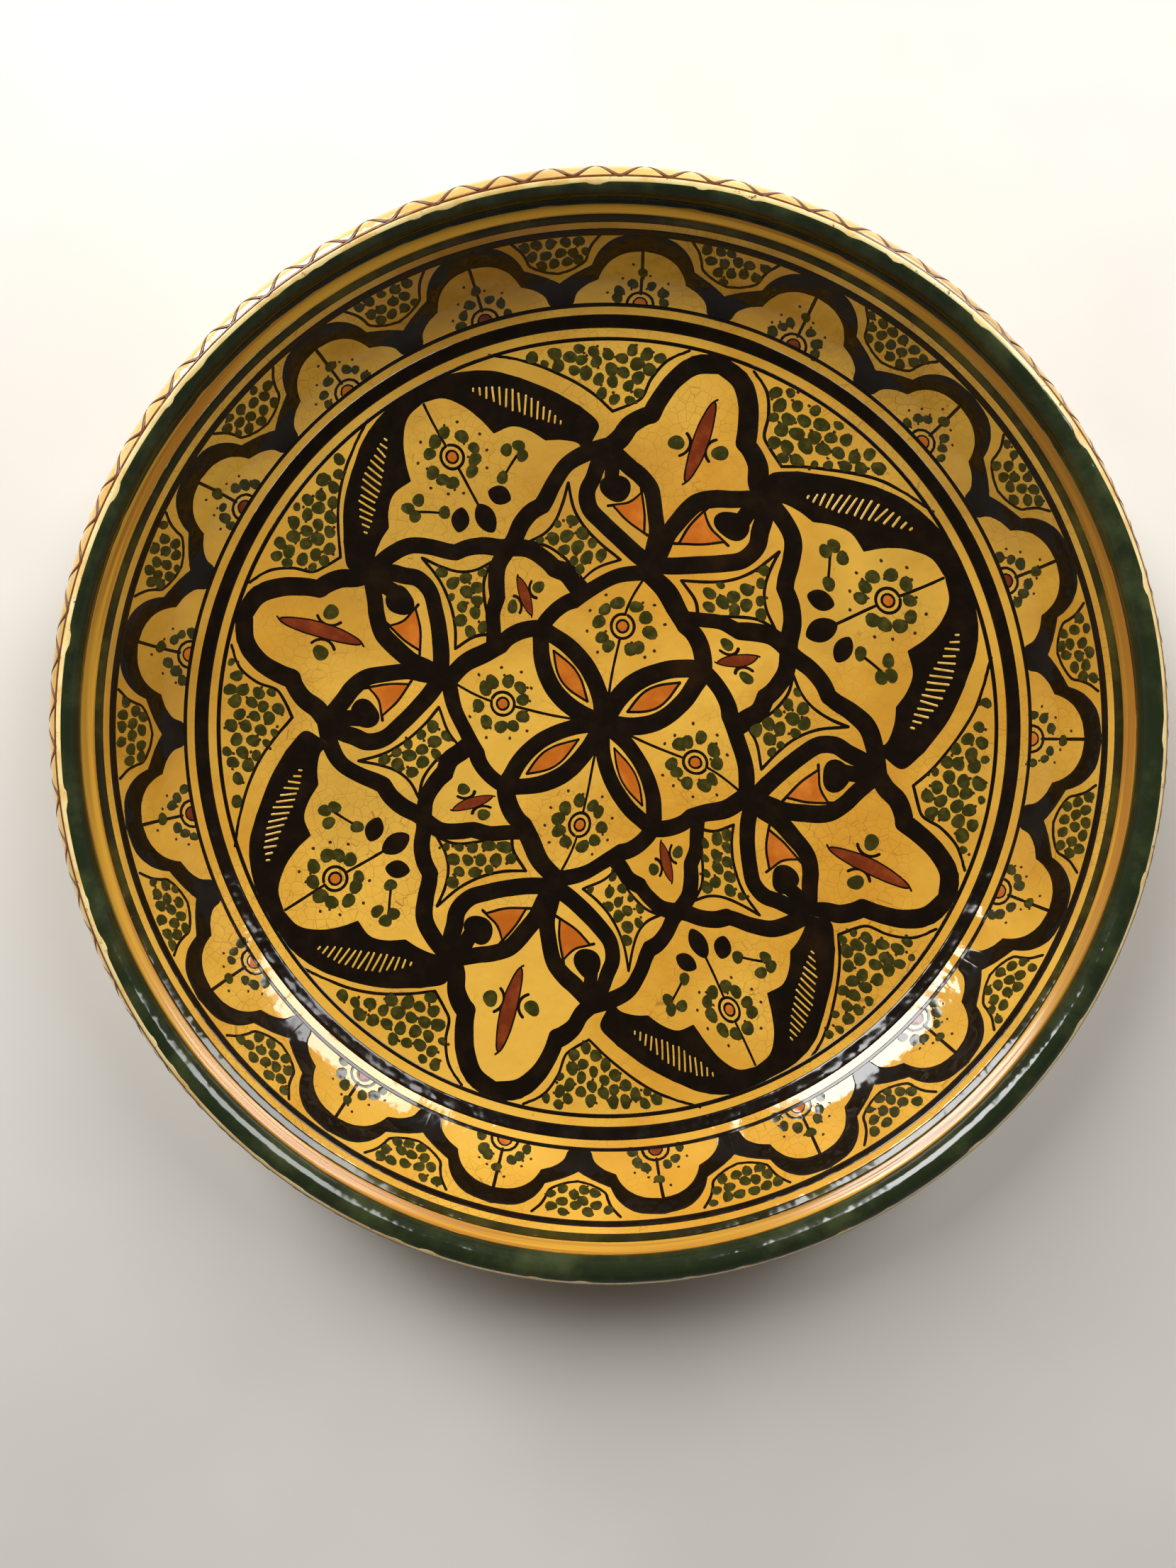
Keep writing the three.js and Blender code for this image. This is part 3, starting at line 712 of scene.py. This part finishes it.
# staggered rows of dots, shaken a little, kept where they fit inside an outline; of several ways to
# lay the rows, the one that fits the most dots
def packed(outline, pitch, margin, seed, tries=24):
    draw = np.random.default_rng(seed)
    reach = np.ptp(outline, axis=0).max() * 0.8 + pitch
    count = int(reach / pitch) + 1
    rows, columns = np.meshgrid(np.arange(-count, count + 1), np.arange(-count, count + 1))
    rows, columns = rows.ravel() * pitch * 0.87, (columns + 0.5 * (rows % 2)).ravel() * pitch
    best = np.zeros((0, 2))
    for attempt in range(tries):
        turn = draw.uniform(0, math.pi)
        spots = np.stack([rows * math.cos(turn) - columns * math.sin(turn),
                          rows * math.sin(turn) + columns * math.cos(turn)], 1)
        spots = spots + outline.mean(0) + draw.uniform(-1, 1, 2) * pitch / 2
        spots = spots + draw.normal(0, 0.07 * pitch, spots.shape)
        spots = spots[inside(spots, outline)]
        spots = spots[edgeDistance(spots, outline) > margin]
        best = spots if len(spots) > len(best) else best
    return best


def specksAround(dots, radius, seed, share=0.7):  # a speck against the rim of most dots
    draw = np.random.default_rng(seed + 5)
    angle = draw.uniform(0, 2 * math.pi, len(dots))
    spots = dots + radius * 1.05 * np.stack([np.cos(angle), np.sin(angle)], 1)
    return spots[draw.uniform(size=len(dots)) < share]


# each fine brush: its piece on the floor of the dish, its piece on the wall, and its finish
brushes = {
    "thin": ("fineContours", "friezeFineLines", "black"),
    "green": ("greenDots", "friezeDots", "green"),
    "brown": ("brownSpecks", "friezeSpecks", "brown"),
    "orange": ("orangeFills", "friezeOrange", "orange"),
    "rust": ("rustSpindles", "friezeRust", "rust"),
    "buds": ("blackBuds", None, "black"),
    "bars": ("yellowCombs", None, "yellow"),
}
layers = {key: Layer(layFloor) for key in brushes}


def makeBrushed(painted, where):  # where: 0 for the floor of the dish, 1 for its wall
    for key, brush in brushes.items():
        if brush[where]:
            makePiece(brush[where], painted[key].heap, brush[2])


# the four petals in the middle
petal = {
    "width": 6.0,
    "spans": [[(0, 0), (3.4, 10.8), (9, 19.2), (17.2, 25.2), (23.5, 27.7), (29.1, 29.1), (35.5, 26.5),
               (40, 22.5), (41.7, 19.5)],
              [(41.7, 19.5), (46.4, 15), (53, 8.6), (57.5, 0)]],
    "medallionAt": 36.5,
    "stems": [((57, 0), (41, 0)), ((32, 0), (11, 0))], "stemWidth": 1.0,
    "lens": (10, 32, 3.1), "lensLine": 1.1,  # from, to, half width
}
medallions = {
    "rings": ((4.3, 1.15), (2.2, 1.0)), "flat": 0.94, "middle": 1.75,
    "bearings": [22, 58, 96, 132, 158, 202, 230, 265, 305, 338],
    "orbit": 8.4, "dot": 2.45, "speck": 0.55,
    "haloOut": 4.4, "haloTurn": 0.3, "haloSpeck": 0.62, "haloClear": 2,
}


def medallion(at, axis, seed):
    m = medallions
    turn = np.linspace(0, 2 * math.pi, 48)
    for radius, width in m["rings"]:
        ring = np.stack([at + radius * np.cos(turn), radius * m["flat"] * np.sin(turn)], 1)
        layers["thin"].stroke(ring[::3], width, axis)
    layers["orange"].dots([(at, 0)], m["middle"], axis, sides=16, rings=4, seed=seed)
    draw = np.random.default_rng(seed)
    angle = np.radians(m["bearings"]) + draw.normal(0, 0.06, 10)
    reach = m["orbit"] + draw.normal(0, 0.5, 10)
    spots = np.stack([at + reach * np.cos(angle), reach * np.sin(angle)], 1)
    layers["green"].dots(spots, m["dot"] * (1 + draw.normal(0, 0.05, 10)), axis, seed=seed)
    layers["brown"].dots(specksAround(spots, m["dot"], seed, 0.5), m["speck"], axis, sides=7, seed=seed)
    out, far = reach + m["haloOut"], angle + m["haloTurn"]
    halo = np.stack([at + out * np.cos(far), out * np.sin(far)], 1)
    halo = halo[np.abs(halo[:, 1]) > m["haloClear"]]
    layers["brown"].dots(halo, m["haloSpeck"], axis, sides=7, seed=seed + 1)


def lens(inner, outer, half, blunt=1.1, steps=26):  # oval along an axis: half width times sin to a power
    t = (1 - np.cos(np.linspace(0, math.pi, steps))) / 2
    width = half * np.clip(np.sin(math.pi * t), 0, 1) ** blunt
    reach = inner + (outer - inner) * t
    return np.concatenate([np.stack([reach, width], 1), np.stack([reach, -width], 1)[::-1][1:-1]])


def makePetals():
    outline = Layer(layFloor)
    for k in range(4):
        axis = k * turnRight
        outline.strokes(petal["spans"], petal["width"], axis)
        for stem in petal["stems"]:
            layers["thin"].stroke(stem, petal["stemWidth"], axis)
        medallion(petal["medallionAt"], axis, 30 + k)
        between = axis + turnRight / 2
        border = lens(*petal["lens"])
        layers["orange"].patch(border, between, rings=6)
        for side in halves(border):
            layers["thin"].stroke(side[::3], petal["lensLine"], between)
    makePiece("petalRosette", outline.heap, "black", ["petal_rosette"])


makePetals()

# the four flowers: heart, ball, triangle and long leaf
flower = {
    "width": 6.0, "leafWidth": 6.6,
    "outerHeart": [(60.5, 0), (62, 6), (64.8, 12.8), (69, 21.3), (73, 27.5), (78.5, 30.2), (83.5, 29.8),
                   (90, 29.5), (96.5, 26.8)],
    "innerHeart": [(62, 0.8), (66, 1.4), (72, 2), (78.5, 4.5), (85.8, 8.4), (89.5, 13.8), (91.2, 18.3),
                   (94, 24.5)],
    "leaf": [[(96.5, 26.8), (100, 24.5), (105.5, 22.5), (109.8, 18.8), (111.2, 16.8)],
             [(111.2, 16.8), (116, 16.2), (124.3, 13.8), (131.5, 8.5), (135, 0)]],
    "ball": (82.7, 21), "ballRadius": 5.2,
    "ballNeck": [(83.5, 23), (89, 24.5), (93.5, 26)], "neckWidth": 5.4,
    "triangle": [[(70.5, 6.5), (77, 8.2), (84, 11.5)], [(84, 11.5), (79.5, 14.5), (76.5, 20)],
                 [(76.5, 20), (72.8, 13.5), (70.5, 6.5)]],
    "triangleLine": 1.15, "spindleLine": 0.8,
    "spindle": (91.5, 122, 2.6, -2.5),      # from, to, half width, and how far off the axis
    "leafDots": [(104, 5.4), (105, -9.8)], "leafDot": 2.8, "whisker": 4.9,
}


def edged(body, axis, width):  # a rust patch with a thin dark line round it and a tail at each end
    layers["rust"].patch(body, axis, rings=6)
    for side in halves(body):
        tail = side[-1] + (side[-1] - side[-4]) * 0.9
        layers["thin"].stroke(np.concatenate([side[::2], [tail]]), width, axis)


def cups(dots, off, radius, axis):  # an arc round each dot, on the side towards the spindle
    sweep = np.radians(np.linspace(-58, 58, 7))
    for x, y in dots:
        towards = math.copysign(1, off - y)
        arcPoints = np.stack([x + radius * np.sin(sweep), y + towards * radius * np.cos(sweep)], 1)
        layers["thin"].stroke(arcPoints, 1.15, axis)


def makeFlower(k):
    axis = k * turnRight
    outline = Layer(layFloor)
    outline.seed = 100 * k
    outline.strokes([flower["outerHeart"], flower["innerHeart"]], flower["width"], axis)
    outline.strokes(flower["leaf"], flower["leafWidth"], axis)
    for side in (1, -1):
        ball = sided([flower["ball"]], side)
        outline.dots(ball, flower["ballRadius"], axis, hand["crown"], sides=28, rings=6, seed=k)
        outline.stroke(sided(flower["ballNeck"], side), flower["neckWidth"], axis)
        sides = [sided(span, side) for span in flower["triangle"]]
        layers["orange"].patch(ringOf(sides), axis, rings=6)
        for span in sides:
            line = smooth(span)
            tail = line[-1] + (line[-1] - line[-2]) * 1.6
            layers["thin"].stroke(np.concatenate([line[::3], [tail]]), flower["triangleLine"], axis)
    makePiece(f"flowerOutline{k + 1}", outline.heap, "black", [f"flower_outline_{k + 1}"])
    start, end, half, off = flower["spindle"]
    body = lens(start, end, half, 0.55)
    body[:, 1] += off
    edged(body, axis, flower["spindleLine"])
    layers["green"].dots(flower["leafDots"], flower["leafDot"], axis, sides=16, seed=k)
    cups(flower["leafDots"], off, flower["whisker"], axis)


for k in range(4):
    makeFlower(k)

# the four shields between them, with their crescents
shield = {
    "turn": math.radians(1.7),
    "width": 6.0,
    "collar": [[(96.5, 26.8), (91, 35.2), (85.5, 40.3), (78.5, 42.3), (72, 43), (69, 43.6)],
               [(69, 43.6), (65.5, 46.6), (60, 49), (54, 50), (51, 51), (44.2, 52.7),
                (37.8, 51.3), (33, 49.2)],
               [(33, 49.2), (27.5, 49), (22.6, 46.7), (18.7, 44.9)]],
    "edge": [[(90, 46), (94, 51.5), (103, 48.8)], [(103, 48.8), (114, 42), (123.5, 34)],
             [(123.5, 34), (131.5, 25), (136.5, 13), (137.5, 0)]],
    "lobes": [[(88.5, 41.5), (92, 41.8), (96.5, 37), (99.2, 31.8)],
              [(99.2, 31.8), (104.7, 28.6), (109, 24), (110, 17)],
              [(110, 17), (117, 15.5), (124, 12.5), (129.7, 7.3), (131.6, 0)]],
    "comb": [(101, 40.5), (110, 34.5), (120, 26), (128.5, 17)],
    "bars": 15, "barLength": 7.5, "barWidth": 0.9, "barLean": 68, "barCrown": 0.16 * mm,
    "medallionAt": 110.5,
    "stems": [((131, 0), (115, 0)), ((106, 0), (89, 0))], "stemWidth": 1.05,
    "buds": [[(91, 0), (79.5, 0), 3.7], [(93, 5.5), (86, 11.2), 3.3], [(93, -5.5), (86, -11.2), 3.3]],
    "sprig": [(99, 20), (97, 16.5), (94.5, 12.5)], "sprigLine": 1.0,
    "sprigDots": [(101.8, 22.4), (102.6, 17.8), (98.2, 21.8), (94.5, 12)], "sprigDot": 2.3,
    "spindle": (47, 61.5, 1.9), "spindleLine": 0.7,
    "leafDots": [(53, 5.8), (54.5, -5.8)], "leafDot": 2.2, "whisker": 3.6,
}


def matched(span, count):  # one smooth span with a fixed number of even steps
    line = smooth(span, 0.4)
    run = np.linspace(0, len(line) - 1, count)
    return np.stack([np.interp(run, np.arange(len(line)), line[:, i]) for i in (0, 1)], 1)


def joined(spans, count):
    return np.concatenate([matched(span, count)[:-1] for span in spans] + [[spans[-1][-1]]])


# a filled band between two edges: each row is a straight step from one edge to the other, with a skirt
# past both edges; the first and last rows run on a little and close
def layBand(layer, lower, upper, axis, columns=9):
    share = (1 - np.cos(np.linspace(0, math.pi, columns))) / 2
    across = (upper - lower) / np.hypot(*(upper - lower).T)[:, None]
    rows = lower[:, None] + share[None, :, None] * (upper - lower)[:, None]
    skirt = hand["skirt"] * across
    rows = np.concatenate([(lower - skirt)[:, None], rows, (upper + skirt)[:, None]], 1)
    rise = np.concatenate([[0], 0.05 + 0.95 * np.clip(1 - (2 * share - 1) ** 6, 0, 1) ** 0.5, [0]])
    lift = hand["crown"] * rise - hand["below"] * (rise == 0) + np.zeros((len(rows), 1))
    ends = [2 * rows[0] - rows[1], 2 * rows[-1] - rows[-2]]
    grid = np.concatenate([ends[:1], rows, ends[1:]])
    lift = np.pad(lift, ((1, 1), (0, 0)), constant_values=-hand["below"])
    layStroke(layer.heap, grid, lift, lambda g, rise: layer.laying(g, axis, rise))


def makeShield(k):
    axis = (k - 0.5) * turnRight + shield["turn"]
    outline = Layer(layFloor)
    outline.seed = 500 + 100 * k
    for side in (1, -1):
        flowerAxis = (k - 1 if side == 1 else k) * turnRight
        for span in shield["collar"]:
            outline.stroke(sided(span, side), shield["width"], flowerAxis)
        edges = [joined(shield[key], 26) * (1, side) for key in ("lobes", "edge")]
        layBand(outline, *edges[::side], axis)
        makeComb(side, axis, k)
        makeSprig(side, axis, k)
    makePiece(f"shieldOutline{k + 1}", outline.heap, "black", [f"shield_outline_{k + 1}"])
    medallion(shield["medallionAt"], axis, 60 + k)
    for stem in shield["stems"]:
        layers["thin"].stroke(stem, shield["stemWidth"], axis)
    for start, end, half in shield["buds"]:
        start, end = np.array(start, float), np.array(end, float)
        along = end - start
        body = lens(0, 1, 1)
        across = np.array([-along[1], along[0]]) / np.hypot(*along)
        bulge = np.abs(body[:, 1:]) ** 0.55 * np.sign(body[:, 1:])
        layers["buds"].patch(start + body[:, :1] * along + bulge * across * half, axis, rings=5)
    start, end, half = shield["spindle"]
    edged(lens(start, end, half, 0.7), axis, shield["spindleLine"])
    layers["green"].dots(shield["leafDots"], shield["leafDot"], axis, sides=14, seed=k)
    cups(shield["leafDots"], 0, shield["whisker"], axis)


def makeComb(side, axis, k):
    line = smooth(shield["comb"], 0.2)
    last = len(line) - 1
    draw = np.random.default_rng(900 + 10 * k + side)
    for i in range(shield["bars"]):
        share = (i + 0.5) / shield["bars"]
        spot = line[int(share * last)]
        ahead = line[min(int(share * last) + 4, last)] - line[max(int(share * len(line)) - 4, 0)]
        angle = math.atan2(ahead[1], ahead[0]) + math.radians(shield["barLean"] + draw.normal(0, 3))
        reach = shield["barLength"] / 2 * math.sin(math.pi * share) ** 0.7 * (1 + draw.normal(0, 0.07))
        tip = np.array([math.cos(angle), math.sin(angle)]) * max(reach - 0.4, 0.4)
        bar = sided([spot - tip, spot + tip], side)
        layers["bars"].stroke(bar, shield["barWidth"], axis, shield["barCrown"])


def makeSprig(side, axis, k):
    layers["green"].dots(sided(shield["sprigDots"], side), shield["sprigDot"], axis, sides=12, seed=k + 7)
    layers["thin"].stroke(sided(shield["sprig"], side), shield["sprigLine"], axis)


for k in range(4):
    makeShield(k)

# fields of dots between the motifs
fields = {
    "inner": [[(79.5, 37.6), (72, 37), (65, 37.7), (60, 40), (55.4, 44.4)],
              [(55.4, 44.4), (55.8, 38), (53.8, 31.5), (51.2, 26.6), (46.8, 21)],
              [(46.8, 21), (52.8, 17.8), (58.3, 11.2)],
              [(58.3, 11.2), (61, 18.8), (64.8, 25.8), (70.5, 32), (79.5, 37.6)]],
    "outer": [[(136, 11.5), (130.5, 18), (123, 21.3), (115.5, 22), (112.5, 24.5), (107.8, 29.8)],
              [(107.8, 29.8), (111, 37.5), (114, 48.5), (115.5, 60), (115, 70), (113.5, 79)]],
    "ringRadius": 136.2,
    "pitch": 5.15, "margin": 1.15, "dot": 2.25, "speck": 0.6, "contour": 1.15,
}


def makeField(k, side, name):
    axis = k * turnRight
    spans = fields[name]
    seed = 200 + 20 * k + 2 * side + (name == "outer")
    for span in spans:
        layers["thin"].stroke(sided(span, side), fields["contour"], axis)
    loop = ringOf(spans)
    if name == "outer":  # closed along the fine well ring
        first, last = (math.atan2(y, x) for x, y in (spans[0][0], spans[-1][-1]))
        angle = last + np.linspace(0, 1, 24) * (first - last)
        ringEdge = fields["ringRadius"] * np.stack([np.cos(angle), np.sin(angle)], 1)
        loop = np.concatenate([loop, ringEdge])
    loop = loop * (1, side)
    spots = packed(loop, fields["pitch"], fields["margin"], seed)
    draw = np.random.default_rng(seed)
    radii = np.clip(edgeDistance(spots, loop) + 0.3, 1.3, fields["dot"] * 1.03)
    radii = radii * (1 + draw.normal(0, 0.06, len(spots)))
    layers["green"].dots(spots, radii, axis, seed=seed)
    layers["brown"].dots(specksAround(spots, fields["dot"], seed), fields["speck"], axis, sides=7, seed=seed)


for k in range(4):
    for side in (1, -1):
        for name in ("inner", "outer"):
            makeField(k, side, name)
print("centre pattern painted")

# the frieze of arches on the wall: degrees from an arch's middle, millimetres up from the base line
frieze = {
    "count": 17,
    "base": floorEdge + 15.5 * mm,
    "radius": 156.0,
    "first": 0.42, "sway": (1.25, -100), "doubleSway": (-0.91, 125),
    "lower": [[(-10.59, 0.2), (-9.1, 0.5), (-8.5, 4.1), (-7.2, 7.1), (-5.6, 9.1)],
              [(-5.6, 9.1), (-5.05, 12.6), (-4.0, 16.3), (-2.25, 19.1), (0, 20.2)]],
    "upper": [[(-10.59, 8.5), (-9.4, 10.6), (-8.0, 12.6), (-6.35, 14.8)],
              [(-6.35, 14.8), (-5.9, 17.9), (-5.0, 21.5), (-3.25, 25.0), (0, 26.6)]],
    "contour": [[(-5.2, 25.6), (-4.2, 22), (-3.7, 18.6)], [(-3.7, 18.6), (-3.5, 16.6), (-2.7, 14.8)],
                [(-2.7, 14.8), (-1.5, 13.2), (0, 12.2)]],
    "fan": [(6, 8.6), (34, 8.5), (62, 8.3), (90, 12.2), (118, 8.4), (146, 8.3), (174, 8.8)],
    "dot": 1.95, "speck": 0.5,
    "stem": (20.8, 12, 4.2), "stemWidth": 1.2,
    "domes": ((4.9, 4.3, 1.15), (2.6, 2.5, 0.8)), "domeUp": 0.3, "heart": 2.3,
    "fanUp": 0.6, "fanFlat": 0.92, "haloOut": 3.6, "haloTurn": 0.22, "haloSpeck": 0.55,
    "contourLine": 1.05, "pitch": 4.35, "margin": 0.9, "spandrelDots": (1.3, 1.95), "spandrelReach": 1.75,
}


# sideways and up in millimetres, to an angle round the dish and a distance up
def layWall(points, axis, lift):
    return onDish(axis - points[..., 0] / frieze["radius"], frieze["base"] + points[..., 1] * mm, lift)


def archAngle(k):  # even pitch, swayed by two slow waves round the dish
    even = k * 360 / frieze["count"]
    (once, onceAt), (twice, twiceAt) = frieze["sway"], frieze["doubleSway"]
    sway = once * math.sin(math.radians(even + onceAt)) + twice * math.sin(math.radians(2 * even + twiceAt))
    return math.radians(frieze["first"] + even + sway)


def toWall(points, pitchShare=1.0):
    return [(math.radians(x) * frieze["radius"] * pitchShare, y) for x, y in points]


def makeFrieze():
    outline = Layer(layWall)
    wallLayers = {key: Layer(layWall) for key in brushes}
    count = frieze["count"]
    for k in range(count):
        before, middle, after = (archAngle(k + step) for step in (-1, 0, 1))
        draw = np.random.default_rng(700 + k)
        tall = 1 + draw.normal(0, 0.02)
        for side, neighbour in ((1, before), (-1, after)):
            share = abs(neighbour - middle) / math.radians(360 / count)
            edges = []
            for spans in (frieze["lower"], frieze["upper"]):
                line = joined([toWall(span, share) for span in spans], 18)
                line[:, 1] *= 1 + (tall - 1) * np.clip(line[:, 1] / 10 - 0.6, 0, 1)
                edges.append(line * (-side, 1))
            layBand(outline, *edges[::-side], middle)
        wallMotif(wallLayers, middle, k, draw)
        spandrel(wallLayers, (middle + after) / 2, k)
    arches = [f"frieze_arch_{k + 1}" for k in range(count)]
    makePiece("friezeArches", outline.heap, "black", arches)
    makeBrushed(wallLayers, 1)


def wallMotif(wallLayers, angle, k, draw):
    thin = wallLayers["thin"]
    tilt = draw.normal(0, 0.5)
    top, bend, low = frieze["stem"]
    thin.stroke([(tilt, top), (0.3 * tilt, bend), (0, low)], frieze["stemWidth"], angle)
    sweep = np.linspace(0.02, math.pi - 0.02, 9)
    up, heart = frieze["domeUp"], frieze["heart"]
    for wide, tall, width in frieze["domes"]:
        thin.stroke(np.stack([wide * np.cos(sweep), up + tall * np.sin(sweep)], 1), width, angle)
    half = np.stack([heart * np.cos(sweep), up + heart * np.sin(sweep)], 1)
    wallLayers["rust" if k % 2 else "orange"].patch(half, angle)
    fan = np.array(frieze["fan"], float)
    reach = fan[:, 1] + draw.normal(0, 0.35, len(fan))
    bearing = np.radians(fan[:, 0] + draw.normal(0, 3, len(fan)))
    up, flat = frieze["fanUp"], frieze["fanFlat"]
    spots = np.stack([reach * np.cos(bearing), up + reach * np.sin(bearing) * flat], 1)
    wallLayers["green"].dots(spots, frieze["dot"] * (1 + draw.normal(0, 0.07, len(fan))), angle, seed=k)
    specks = specksAround(spots, frieze["dot"], k, 0.6)
    wallLayers["brown"].dots(specks, frieze["speck"], angle, sides=7, seed=k)
    out, far = reach + frieze["haloOut"], bearing + frieze["haloTurn"]
    halo = np.stack([out * np.cos(far), up + out * np.sin(far) * flat], 1)[1:-1]
    wallLayers["brown"].dots(halo, frieze["haloSpeck"], angle, sides=7, seed=k + 50)


def spandrel(wallLayers, angle, k):
    spans = [toWall(span) for span in frieze["contour"]]
    for side in (1, -1):
        for span in spans:
            wallLayers["thin"].stroke([(side * x, y) for x, y in span], frieze["contourLine"], angle)
    left = ringOf(spans)
    loop = np.concatenate([left, [spans[-1][-1]], left[::-1] * (-1, 1)])
    spots = packed(loop, frieze["pitch"], frieze["margin"], 800 + k)
    radii = np.clip(edgeDistance(spots, loop) + 0.5, *frieze["spandrelDots"])
    wallLayers["green"].dots(spots, radii, angle, seed=800 + k)
    specks = specksAround(spots, frieze["spandrelReach"], 800 + k)
    wallLayers["brown"].dots(specks, frieze["speck"], angle, sides=7, seed=k)


makeFrieze()
print("frieze painted")

makeBrushed(layers, 0)
print("fine brushwork made")

# fish scales on the outside wall, row under row, each row half a scale on
scales = {
    "count": 73, "rows": 7, "line": 0.95, "crown": 0.12, "radius": 170,
    "pitch": 7.4, "depth": 8.2, "spread": 1.08,
    "firstPitch": 5.0, "firstDepth": 5.4, "firstSpread": 1.1,
    "startPast": 1.5, "evenPast": 2.0, "evenFrom": 30,
}


# sideways is an angle, down is a distance past the brown edge line, whose sway fades row by row
def layOutside(points, axis, lift):
    angle = axis + points[..., 0]
    edge = np.interp(angle % (2 * math.pi), around, lipEnd, period=2 * math.pi)
    edge = edge + scales["startPast"] * mm
    even = crest + scales["evenPast"] * mm
    fade = np.clip(points[..., 1] / scales["evenFrom"], 0, 1)
    return onDish(angle, edge * (1 - fade) + even * fade + points[..., 1] * mm, lift)


def makeScales():
    lines = Heap()
    half = math.pi / scales["count"]
    toMm = (scales["radius"], 1)
    side = np.array([-1, 0, 1.0])
    for row in range(scales["rows"]):
        first = row == 0
        sweep = np.linspace(-1, 1, 29 if row < 2 else 13)  # the first rows bend over the roll
        top = 0 if first else scales["firstPitch"] + (row - 1) * scales["pitch"]
        hang = scales["firstDepth" if first else "depth"] * np.abs(sweep) ** 1.5
        arch = np.stack([half * scales["firstSpread" if first else "spread"] * sweep, top + hang], 1)
        for k in range(scales["count"]):
            draw = np.random.default_rng(row * 1000 + k)
            line = arch * (1, 1 + draw.normal(0, 0.03)) + (0, draw.normal(0, 0.12))
            ahead = np.gradient(line * toMm, axis=0)
            across = np.stack([-ahead[:, 1], ahead[:, 0]], 1) / np.hypot(*ahead.T)[:, None]
            grid = line[:, None] + (across * (scales["line"] / 2))[:, None] * side[None, :, None] / toMm
            lift = np.tile([0.2, 1, 0.2], (len(grid), 1)) * scales["crown"] * mm
            lift[[0, -1]] = -0.03 * mm
            axis = 2 * half * (k + 0.5 * (row % 2)) + draw.normal(0, 0.06) * half
            layStroke(lines, grid, lift, lambda g, rise: layOutside(g, axis, rise))
    makePiece("outsideScales", lines, "scaleBrown")


makeScales()
print("outside painted")

# floor, lights and camera
studio = {
    "floorSize": 3.0,
    "floorColours": (hexColour(226, 222, 214), hexColour(218, 214, 206)),
    "windows": {"windowRight": (11.2, 50), "windowLeft": (17.8, 127)},  # power, azimuth
    "windowSize": (0.42, 0.95), "windowHeight": 42, "windowAway": 1.3,
    "sky": (1.0, 0.95, 0.88), "skyStrength": (0.2, 0.03),
    "cameraPlace": (-5 * mm, -8 * mm, 439 * mm),
    "lens": 26.85, "lensShift": (-0.0034, -0.0216),
}


def makeFloor():
    half = studio["floorSize"] / 2
    line = np.linspace(-half, half, 9)
    heap = Heap()
    heap.grid(np.stack(np.meshgrid(line, line, indexing="ij") + [np.zeros((9, 9))], -1))
    f = Finish("paleFloor", Roughness=0.85)
    f.colour(f.mix(f.between(f.noise(3, 4), 0.4, 0.6), *studio["floorColours"]))
    makeObject("paleFloor", heap, f.material)


def softLight(name, power, azimuth):
    light = bpy.data.lights.new(name, "AREA")
    light.shape, light.energy = "RECTANGLE", power
    light.size, light.size_y = studio["windowSize"]
    lamp = bpy.data.objects.new(name, light)
    away, a, e = studio["windowAway"], math.radians(azimuth), math.radians(studio["windowHeight"])
    lamp.location = (away * math.cos(e) * math.cos(a), away * math.cos(e) * math.sin(a), away * math.sin(e))
    lamp.rotation_euler = (turnRight - e, 0, a + turnRight)
    bpy.context.scene.collection.objects.link(lamp)


def makeStudio():
    for name, (power, azimuth) in studio["windows"].items():
        softLight(name, power, azimuth)
    world = bpy.data.worlds.new("studioSky")  # pale all round, dim overhead so the glaze keeps its depth
    world.use_nodes = True
    nodes, links = world.node_tree.nodes, world.node_tree.links
    direction = nodes.new("ShaderNodeTexCoord").outputs["Generated"]
    height = nodes.new("ShaderNodeSeparateXYZ")
    links.new(direction, height.inputs["Vector"])
    fall = nodes.new("ShaderNodeMapRange")
    fall.interpolation_type = "SMOOTHSTEP"
    setLimits(fall, 0.2, 0.9, *studio["skyStrength"])
    links.new(height.outputs["Z"], fall.inputs["Value"])
    links.new(fall.outputs["Result"], nodes["Background"].inputs["Strength"])
    nodes["Background"].inputs["Color"].default_value = (*studio["sky"], 1)
    bpy.context.scene.world = world
    bpy.context.scene.view_settings.view_transform = "Standard"


def makeCamera():
    camera = bpy.data.cameras.new("camera")
    camera.lens, camera.sensor_width = studio["lens"], 36
    camera.shift_x, camera.shift_y = studio["lensShift"]
    camera.clip_start, camera.clip_end = 0.01, 20
    holder = bpy.data.objects.new("camera", camera)
    holder.location = studio["cameraPlace"]
    bpy.context.scene.collection.objects.link(holder)
    bpy.context.scene.camera = holder


makeFloor()
makeStudio()
makeCamera()
